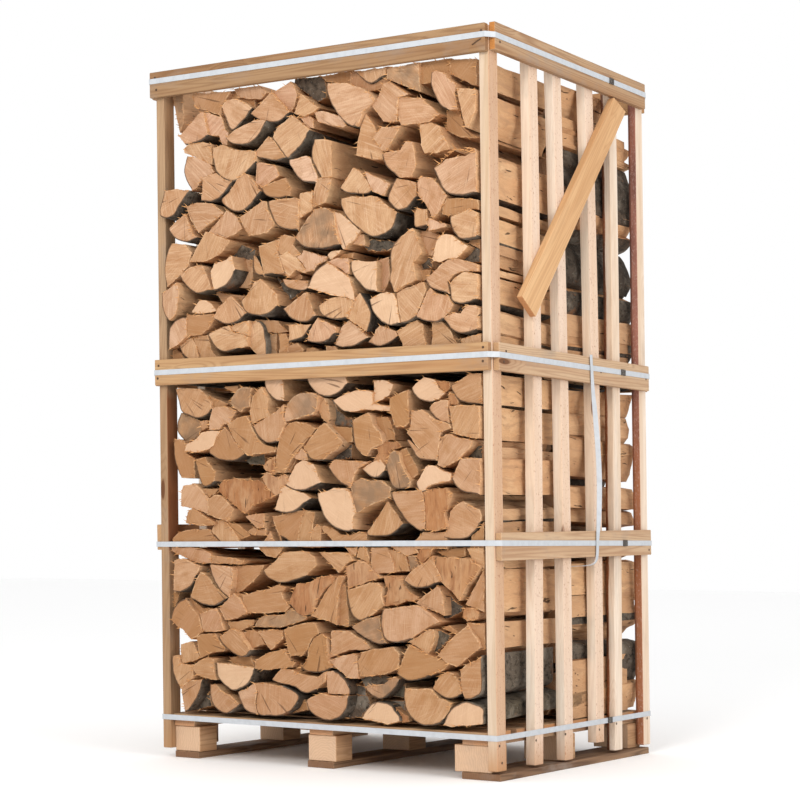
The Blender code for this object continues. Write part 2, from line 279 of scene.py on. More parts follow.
def vector_maths(material, operation, *values):
    """One step of arithmetic with vectors."""
    return node(material, "ShaderNodeVectorMath", dict(enumerate(values)), operation=operation).outputs[0]


def mix(material, share, below, above):
    """Two colours in a share; each is an sRGB hex value or a socket."""
    pick = [linear(c) if isinstance(c, str) else c for c in (below, above)]
    return node(material, "ShaderNodeMix", {0: share, 6: pick[0], 7: pick[1]}, data_type="RGBA").outputs[2]


def band(material, value, low, high, top=1.0):
    """Nought below low, top above high, and a straight ramp between."""
    return node(material, "ShaderNodeMapRange",
                {"Value": value, "From Min": low, "From Max": high, "To Max": top}).outputs[0]


def layered(material, colour, layers):
    """Lays tones over a colour. A layer is a pattern, the values where it starts and where it is full,
    how much of the tone it brings there, and the tone."""
    for pattern, low, high, top, tone in layers:
        colour = mix(material, band(material, pattern, low, high, top), colour, tone)
    return colour


def maths(material, operation, *values):
    """One step of arithmetic with numbers or sockets."""
    return node(material, "ShaderNodeMath", dict(enumerate(values)), operation=operation).outputs[0]


def speckle(material, place, scale, detail=3.0, rough=0.5):
    """Noise of one scale, or in a space that is stretched by three."""
    scale = scale if isinstance(scale, tuple) else (scale, scale, scale)
    space = node(material, "ShaderNodeMapping", {"Vector": place, "Scale": scale}).outputs[0]
    return node(material, "ShaderNodeTexNoise", {"Vector": space, "Scale": 1.0, "Detail": detail,
                                                 "Roughness": rough}).outputs[0]


def ramp(material, value, colours):
    """A colour from an even row of sRGB hex colours."""
    made = node(material, "ShaderNodeValToRGB", {"Fac": value})
    stops = made.color_ramp.elements
    for k, colour in enumerate(colours):
        stop = stops[k] if k < 2 else stops.new(k / (len(colours) - 1))
        stop.position = k / (len(colours) - 1)
        stop.color = linear(colour)
    return made.outputs[0]


def own_place(material):
    """The place of a point, moved by the log's own number, so that no two logs share a pattern."""
    place = point_on(material)
    tint = carried(material, "log_tint", "Fac")
    own = node(material, "ShaderNodeCombineXYZ", {0: tint, 1: tint, 2: tint}).outputs[0]
    return vector_maths(material, "MULTIPLY_ADD", own, (7.0, 11.0, 5.0), place), tint


print("shader helpers ready")

# %% [markdown]
# ## Firewood: the sawn end grain
#
# The logs are beech and alder, sawn to half a metre and split. A sawn end scatters light evenly, with no
# shine. It shows faint growth rings round the pith, straight marks of the saw, some drying cracks that
# run out from the pith, and dust. Bark shows as a thin dark line round the arc, and the split edges are
# paler where fibres tore. Each log carries its own numbers as attributes on its mesh: where the pith is,
# a random tint, how brown or mouldy its end is, and where its rim runs. One material serves all logs.

# %% Sawn end grain
END_TONES = ("BB9379", "B28964", "C09B77", "AA8261", "C7A388", "B78E68")
END_DEEP = "9A6B45"
END_DUST = "8C6A4E"
END_BROWN = "94683F"
END_MOULD = "78614C"
END_PALE = "DBBB9C"
CRACK_DARK = "4A2E1C"
LOW_SHADE_FROM = (1.3, 1.1)    # painted shade: below these heights, in metres, the lower half of the stack is painted browner
LOW_SHADE_SHARE = 0.36
TORN_PALE = "E6C49B"
BARK_LINE = "4C3626"
RING_WIDTH = 7 * MM
SAW_MARK_WIDTH = 4 * MM

end_grain = finish_named("sawn_end_grain", 0.9)
pith = carried(end_grain, "pith_place")
tint = carried(end_grain, "log_tint", "Fac")
look = parts_of(end_grain, carried(end_grain, "log_look"))
pith_xyz = parts_of(end_grain, pith)
turn = maths(end_grain, "MULTIPLY", tint, 37.0)
turned = node(end_grain, "ShaderNodeVectorRotate", {"Vector": pith, "Angle": turn},
              rotation_type="Z_AXIS").outputs[0]

# Rings: the distance from the pith, a little wavy, folded into soft bands
waver = node(end_grain, "ShaderNodeTexNoise", {"Vector": pith, "Scale": 28.0, "Detail": 3.0}).outputs["Color"]
bent = vector_maths(end_grain, "MULTIPLY_ADD", waver, (0.012, 0.012, 0.0), pith)
flat = vector_maths(end_grain, "MULTIPLY", bent, (1.0, 1.0, 0.0))
far_from_pith = node(end_grain, "ShaderNodeVectorMath", {0: flat}, operation="LENGTH").outputs["Value"]
rings = maths(end_grain, "SINE", maths(end_grain, "MULTIPLY", far_from_pith, 2 * math.pi / RING_WIDTH))

# Saw marks: long narrow noise, turned by a random angle on each log
saw = speckle(end_grain, turned, (1 / SAW_MARK_WIDTH, 11.0, 1.0), 3.0, 0.6)

# Drying cracks: thin spokes of noise round the pith, broken where another noise is low
angle = maths(end_grain, "ARCTAN2", pith_xyz[1], pith_xyz[0])
spoke = node(end_grain, "ShaderNodeCombineXYZ", {0: angle, 1: tint, 2: far_from_pith}).outputs[0]
spokes = speckle(end_grain, spoke, (9.0, 90.0, 6.0), 2.0)
rays = speckle(end_grain, spoke, (34.0, 90.0, 18.0), 2.0)
crack = band(end_grain, spokes, 0.685, 0.725)
stain = speckle(end_grain, pith, 17.0, 5.0, 0.6)
dust = speckle(end_grain, pith, 75.0, 6.0, 0.75)
clouds = speckle(end_grain, turned, (30.0, 9.0, 12.0), 4.0, 0.6)

# Damp, mould and the two kinds of rim
height = parts_of(end_grain, point_on(end_grain))[2]
mould_spots = band(end_grain, speckle(end_grain, pith, 22.0, 6.0), 0.3, 0.6, 0.75)
mould = maths(end_grain, "MULTIPLY", look[1], mould_spots)
rim = parts_of(end_grain, carried(end_grain, "end_rim"))
torn_rim = maths(end_grain, "MULTIPLY", band(end_grain, rim[1], 0.3, 0.9), band(end_grain, dust, 0.48, 0.6))

colour = layered(end_grain, ramp(end_grain, tint, END_TONES), (
    (clouds, 0.4, 0.72, 0.75, END_DEEP),
    (rings, -1.0, 1.0, 0.14, END_BROWN),
    (saw, 0.5, 0.8, 0.5, END_PALE),
    (saw, 0.46, 0.28, 0.3, END_DEEP),
    (rays, 0.55, 0.75, 0.35, END_PALE),
    (stain, 0.55, 0.72, 0.55, END_BROWN),
    (dust, 0.56, 0.74, 0.6, END_DUST),
    (look[0], 0.0, 1.0, 0.6, END_BROWN),
    # painted shade: the lower half of the stack is browner
    (height, *LOW_SHADE_FROM, LOW_SHADE_SHARE, END_BROWN),
    (mould, 0.0, 1.0, 1.0, END_MOULD),
    (look[2], 0.0, 1.0, 0.45, END_PALE),
    (crack, 0.0, 1.0, 0.62, CRACK_DARK),
    (torn_rim, 0.0, 1.0, 0.5, TORN_PALE),
    (rim[0], 0.35, 0.75, 0.85, BARK_LINE),
))
relief = maths(end_grain, "SUBTRACT", maths(end_grain, "MULTIPLY_ADD", dust, 0.8, saw), crack)
lay_on(end_grain, colour, relief, 0.75, 1.8)
print("end grain has", len(end_grain.node_tree.nodes), "nodes")

# %% [markdown]
# ## Firewood: the split faces
#
# An axe opens a log along its fibres. The torn face is a warmer, redder brown than the sawn end, in long
# streaks that all run with the log. Here that is front to back, so the noise is stretched along Y. Long
# slits open where the wood dried, and paler patches show where fibres were pulled off last. A few logs
# broke at their end: there the fibres lie across the end, so the pattern is turned on faces that look
# to the front. Faces that look towards the slats are painted paler, as painted light.

# %% Split face
SPLIT_TONES = ("C59061", "B17C50", "D2A475", "B98459", "D8AF87")
SPLIT_PALE = "DAB48A"
SPLIT_BROWN = "7C4D2E"
SLIT_DARK = "2A1910"
# painted light on the split faces that look towards the slats
PAINTED_LIGHT_PALE = "E2B88E"
FIBRE_WIDTH = 3.5 * MM
FIBRE_LENGTH = 70 * MM

split_face = finish_named("axe_split_face", 0.85)
moved, tint = own_place(split_face)
look = parts_of(split_face, carried(split_face, "log_look"))
way = parts_of(split_face, facing_of(split_face))
swapped = turned_by(split_face, moved, (math.radians(90), 0.3, 0.0))
faces_front = band(split_face, maths(split_face, "ABSOLUTE", way[1]), 0.6, 0.8)
moved = node(split_face, "ShaderNodeMix", {0: faces_front, 4: moved, 5: swapped},
             data_type="VECTOR").outputs[1]
sway = node(split_face, "ShaderNodeTexNoise", {"Vector": moved, "Scale": 5.0, "Detail": 2.0}).outputs["Color"]
moved = vector_maths(split_face, "MULTIPLY_ADD", sway, (0.07, 0.0, 0.07), moved)
fibres = speckle(split_face, moved, (1 / FIBRE_WIDTH, 1 / FIBRE_LENGTH, 1 / FIBRE_WIDTH), 5.0, 0.65)
streaks = speckle(split_face, moved, (55.0, 6.0, 55.0), 3.0)
patches = speckle(split_face, moved, (16.0, 8.0, 16.0), 5.0, 0.62)
slits = speckle(split_face, moved, (120.0, 9.0, 120.0), 2.0)
slit = band(split_face, slits, 0.68, 0.73)

colour = layered(split_face, ramp(split_face, tint, SPLIT_TONES), (
    (patches, 0.5, 0.66, 0.7, SPLIT_PALE),
    (fibres, 0.52, 0.78, 0.6, SPLIT_PALE),
    (fibres, 0.46, 0.25, 0.55, SPLIT_BROWN),
    (streaks, 0.48, 0.7, 0.7, SPLIT_BROWN),
    (look[0], 0.0, 1.0, 0.4, SPLIT_BROWN),
    # painted light: faces that look to the right, towards the slats, are paler
    (way[0], 0.4, 0.9, 0.42, PAINTED_LIGHT_PALE),
    (faces_front, 0.0, 1.0, 0.4, SPLIT_BROWN),
    (slit, 0.0, 1.0, 0.85, SLIT_DARK),
))
relief = maths(split_face, "SUBTRACT", maths(split_face, "MULTIPLY_ADD", patches, 1.5, fibres), slit)
lay_on(split_face, colour, relief, 0.9, 3.5)
print("split face has", len(split_face.node_tree.nodes), "nodes")

# %% [markdown]
# ## Firewood: the bark
#
# Beech and alder bark is thin and fairly smooth. It is a cool grey, mottled darker and browner, with
# pale specks of lichen and short wrinkles across the log. Rubbed places show the rust-brown layer below.

# %% Bark
BARK_TONES = ("5E5348", "473D34", "665C50", "57473A", "5C5446")
LICHEN = "948A7C"
LICHEN_SPECK = "C5C4BB"
BARK_SHADE = "26211B"
WRINKLE_DARK = "28231E"
RUBBED_BARK = "8A5B38"

bark_skin = finish_named("beech_bark", 0.92)
moved, tint = own_place(bark_skin)
patches = speckle(bark_skin, moved, (14.0, 9.0, 14.0), 6.0, 0.65)
mottle = speckle(bark_skin, moved, (70.0, 45.0, 70.0), 6.0, 0.7)
wrinkles = speckle(bark_skin, moved, (22.0, 170.0, 22.0), 3.0)
specks = speckle(bark_skin, moved, 190.0, 2.0)
rubbed = speckle(bark_skin, moved, (9.0, 5.0, 9.0), 5.0, 0.7)
colour = layered(bark_skin, ramp(bark_skin, tint, BARK_TONES), (
    (mottle, 0.52, 0.36, 0.85, BARK_SHADE),
    (patches, 0.52, 0.64, 0.5, LICHEN),
    (wrinkles, 0.62, 0.72, 0.5, WRINKLE_DARK),
    (specks, 0.7, 0.76, 0.8, LICHEN_SPECK),
    (rubbed, 0.6, 0.68, 0.75, RUBBED_BARK),
))
relief = maths(bark_skin, "MULTIPLY_ADD", mottle, 1.2, maths(bark_skin, "MULTIPLY", wrinkles, -0.6))
lay_on(bark_skin, colour, relief, 0.7, 2.5)
print("bark has", len(bark_skin.node_tree.nodes), "nodes")

# %% [markdown]
# ## Firewood: where each log lies
#
# No two split logs are alike, so nothing repeats that a rule could make. The open front is what a buyer
# sees, and its logs are written down one by one. Each gives how far the end stands back from the front
# in millimetres, its kind, the split corners in order and, where it has bark, the points of its bark
# arc, which runs on from the last corner to the first. Points are (x, z) on an upright sheet 480 mm in
# front of the middle, as seen from the camera.

# %% Log ends of the top band
TOP_BAND = [
    (40, "mould", [(-512, 1940), (-562, 2062), (-500, 2060), (-500, 1965)]),
    (10, "brown", [(-463, 2054), (-312, 2044), (-350, 2002), (-352, 1973), (-452, 2010)]),
    (20, "plain", [(-302, 2050), (-205, 2050), (-177, 2025), (-200, 2008), (-253, 2013), (-287, 2024)]),
    (0, "plain", [(-340, 1972), (-352, 2003), (-330, 2018), (-290, 2020), (-232, 1985)],
     [(-258, 1958), (-300, 1930), (-320, 1931)]),
    (0, "plain", [(-495, 1900), (-520, 1928), (-428, 1993), (-416, 1990), (-401, 1920)], [(-440, 1903)]),
    (5, "plain", [(-414, 1989), (-350, 1971), (-338, 1931), (-326, 1919), (-331, 1880), (-350, 1886),
     (-364, 1914), (-401, 1920)]),
    (-5, "plain", [(-340, 1905), (-312, 1921), (-226, 1948), (-180, 1941)],
     [(-212, 1896), (-257, 1877), (-316, 1886)]),
    (0, "plain", [(-501, 1886), (-479, 1898), (-427, 1901), (-389, 1891), (-390, 1828), (-444, 1853),
     (-499, 1873)]),
    (0, "plain", [(-385, 1844), (-386, 1880), (-350, 1884), (-288, 1863), (-223, 1853), (-222, 1822)],
     [(-253, 1794), (-291, 1773), (-323, 1771), (-350, 1782), (-375, 1803)]),
    (5, "plain", [(-486, 1863), (-444, 1853), (-399, 1834), (-377, 1803), (-427, 1783), (-450, 1760),
     (-472, 1754)], [(-499, 1812)]),
    (0, "plain", [(-431, 1720), (-427, 1790), (-375, 1801), (-343, 1779), (-313, 1770)],
     [(-355, 1727), (-395, 1713)]),
    (-19, "plain", [(-579, 1761), (-531, 1765), (-482, 1756)], [(-517, 1713), (-546, 1680), (-597, 1688)]),
    (0, "plain", [(-323, 1740), (-295, 1773), (-267, 1789), (-250, 1785), (-205, 1730)],
     [(-253, 1685), (-302, 1676), (-357, 1713)]),
    (0, "plain", [(-493, 1706), (-450, 1716), (-385, 1706), (-345, 1676), (-395, 1650), (-446, 1622),
     (-479, 1668)]),
    (-5, "plain", [(-564, 1643), (-496, 1685), (-489, 1668), (-468, 1622), (-450, 1609)],
     [(-496, 1598), (-541, 1614)]),
    (0, "plain", [(-402, 1619), (-337, 1685), (-298, 1661), (-278, 1622), (-312, 1605), (-337, 1596)]),
    (-5, "plain", [(-420, 1626), (-337, 1596), (-321, 1588), (-345, 1560), (-368, 1546), (-412, 1532),
     (-484, 1534), (-465, 1564), (-434, 1605)]),
    (0, "plain", [(-288, 1657), (-250, 1674), (-201, 1699), (-182, 1695), (-179, 1674), (-153, 1626),
     (-184, 1600), (-250, 1598), (-278, 1633)]),
    (0, "plain", [(-228, 1838), (-224, 1850), (-176, 1893), (-163, 1886), (-108, 1823)], [(-150, 1816)]),
    (5, "plain", [(-221, 1820), (-150, 1803), (-133, 1770), (-160, 1757), (-200, 1737), (-223, 1755)]),
    (0, "brown", [(-202, 1737), (-165, 1753), (-115, 1762), (-90, 1730), (-100, 1706)],
     [(-150, 1703), (-182, 1714)]),
    (-5, "plain", [(-177, 1698), (-82, 1699), (-65, 1692), (-67, 1603)],
     [(-106, 1607), (-148, 1626), (-172, 1671)]),
    (0, "plain", [(-97, 1814), (-34, 1820), (-20, 1813), (4, 1754), (1, 1739)], [(-54, 1747), (-93, 1796)]),
    (0, "plain", [(-162, 1888), (-145, 1914), (-89, 1948), (-68, 1936), (-22, 1896)],
     [(-41, 1862), (-86, 1829), (-108, 1823)]),
    (0, "plain", [(-243, 1968), (-198, 2001), (-160, 2025), (-92, 1957)], [(-140, 1932), (-205, 1946)]),
    (5, "plain", [(-158, 2020), (-88, 2049), (-77, 2035), (-65, 2005), (-78, 1968), (-92, 1958)]),
    (0, "plain", [(-54, 2007), (15, 1959), (-6, 1948), (-41, 1938), (-80, 1952), (-68, 1973)]),
    (5, "plain", [(-60, 1938), (-20, 1936), (-8, 1926), (-8, 1900), (-28, 1904)]),
    (0, "plain", [(-2, 1945), (25, 1948), (88, 1927), (112, 1896), (95, 1891), (50, 1903), (8, 1917)]),
    (-5, "plain", [(41, 2030), (112, 2019), (171, 2000), (216, 1959), (174, 1931), (150, 1888)],
     [(119, 1896), (67, 1945), (41, 2000)]),
    (40, "bark", [(-70, 2052), (20, 2052), (38, 2030), (38, 1985), (10, 1975), (-30, 2005), (-75, 2035)]),
    (30, "brown", [(20, 2050), (140, 2055), (140, 2010), (45, 2032)]),
    (15, "plain", [(143, 2050), (252, 2050), (249, 2028)], [(195, 2009)]),
    (-5, "plain", [(-7, 1868), (56, 1856), (57, 1748), (20, 1749)], [(-17, 1812)]),
    (0, "plain", [(4, 1752), (57, 1747), (43, 1695), (30, 1675), (-18, 1664), (-10, 1712)]),
    (5, "plain", [(-60, 1710), (-14, 1714), (-18, 1655), (-62, 1634)]),
    (0, "plain", [(84, 1713), (133, 1768), (157, 1758), (200, 1699)], [(181, 1688), (112, 1697)]),
    (0, "plain", [(170, 1757), (201, 1740), (262, 1710), (240, 1676), (200, 1693), (181, 1727)]),
    (-5, "plain", [(88, 1681), (122, 1685), (215, 1678), (239, 1657), (284, 1626)],
     [(275, 1598), (260, 1577), (216, 1562), (185, 1566), (147, 1590), (110, 1625), (92, 1657)]),
    (10, "mould", [(253, 2046), (364, 2050), (367, 1966), (336, 1977), (283, 2004), (252, 2014)]),
    (0, "plain", [(200, 1945), (218, 1962), (240, 2003), (262, 2008), (325, 1965), (292, 1958), (288, 1886),
     (240, 1893), (222, 1918)]),
    (5, "plain", [(293, 1959), (371, 1947), (430, 1895), (396, 1875), (302, 1875), (292, 1900)]),
    (0, "plain", [(405, 2018), (423, 2023), (450, 2009), (457, 1997), (487, 1975), (485, 1950), (493, 1902),
     (464, 1903)], [(433, 1924), (405, 1976)]),
    (0, "plain", [(487, 1964), (560, 1953), (560, 1893), (527, 1845), (517, 1850), (507, 1880)]),
    (30, "brown", [(453, 1905), (493, 1903), (515, 1845), (564, 1812), (500, 1820), (453, 1845)]),
    (0, "plain", [(364, 1872), (405, 1874), (430, 1860), (461, 1803), (468, 1790), (423, 1785), (378, 1789),
     (366, 1813)]),
    (-5, "plain", [(203, 1852), (235, 1878), (300, 1875), (250, 1808), (235, 1808)]),
    (0, "plain", [(235, 1803), (298, 1806), (315, 1830), (338, 1826), (350, 1750), (335, 1722), (298, 1722)],
     [(250, 1760)]),
    (0, "plain", [(410, 1742), (430, 1750), (450, 1765), (520, 1768), (545, 1785), (560, 1775), (560, 1662)],
     [(500, 1655), (447, 1674)]),
    (0, "plain", [(353, 1706), (364, 1723), (402, 1716), (419, 1699), (454, 1660), (423, 1612), (405, 1598),
     (374, 1650), (357, 1667)]),
    (0, "plain", [(281, 1726), (350, 1707), (350, 1667)], [(319, 1636), (284, 1634), (253, 1671)]),
    (5, "brown", [(440, 1626), (454, 1653), (509, 1647), (558, 1640), (560, 1612), (527, 1615), (475, 1600),
     (437, 1607)]),
    (0, "plain", [(340, 1615), (353, 1633), (385, 1626), (392, 1581)], [(346, 1577)]),
    (5, "plain", [(392, 1600), (450, 1578), (447, 1572), (388, 1563)]),
    (-5, "plain", [(464, 1598), (500, 1607), (527, 1615), (560, 1605), (562, 1540)],
     [(543, 1534), (500, 1531), (481, 1545), (470, 1560), (464, 1582)]),
    (-5, "mould", [(-78, 1575), (-68, 1592), (-45, 1620), (-10, 1660), (25, 1660), (58, 1645), (68, 1600),
     (72, 1578), (82, 1548)], [(51, 1543), (19, 1540), (-12, 1542), (-37, 1546), (-59, 1557)]),
    (0, "pale", [(58, 1648), (85, 1640), (112, 1620), (150, 1585), (157, 1583), (135, 1560), (113, 1545),
     (101, 1532), (91, 1532), (82, 1548), (72, 1580), (68, 1600)]),
    (4, "plain", [(180, 1925), (204, 1890), (221, 1853), (236, 1811), (236, 1783), (194, 1788), (143, 1804),
     (151, 1843), (162, 1889)]),
    (22, "brown", [(120, 1985), (128, 2050), (262, 2050), (268, 1990)]),
    (22, "brown", [(350, 1985), (362, 2050), (472, 2050), (470, 1990)]),
    (34, "brown", [(-400, 1960), (-392, 2046), (-228, 2044), (-222, 1975)]),
    (30, "brown", [(470, 2045), (556, 2040), (556, 1962), (540, 1965), (500, 1988), (468, 2005)]),
]
print(len(TOP_BAND), "log ends in the top band")

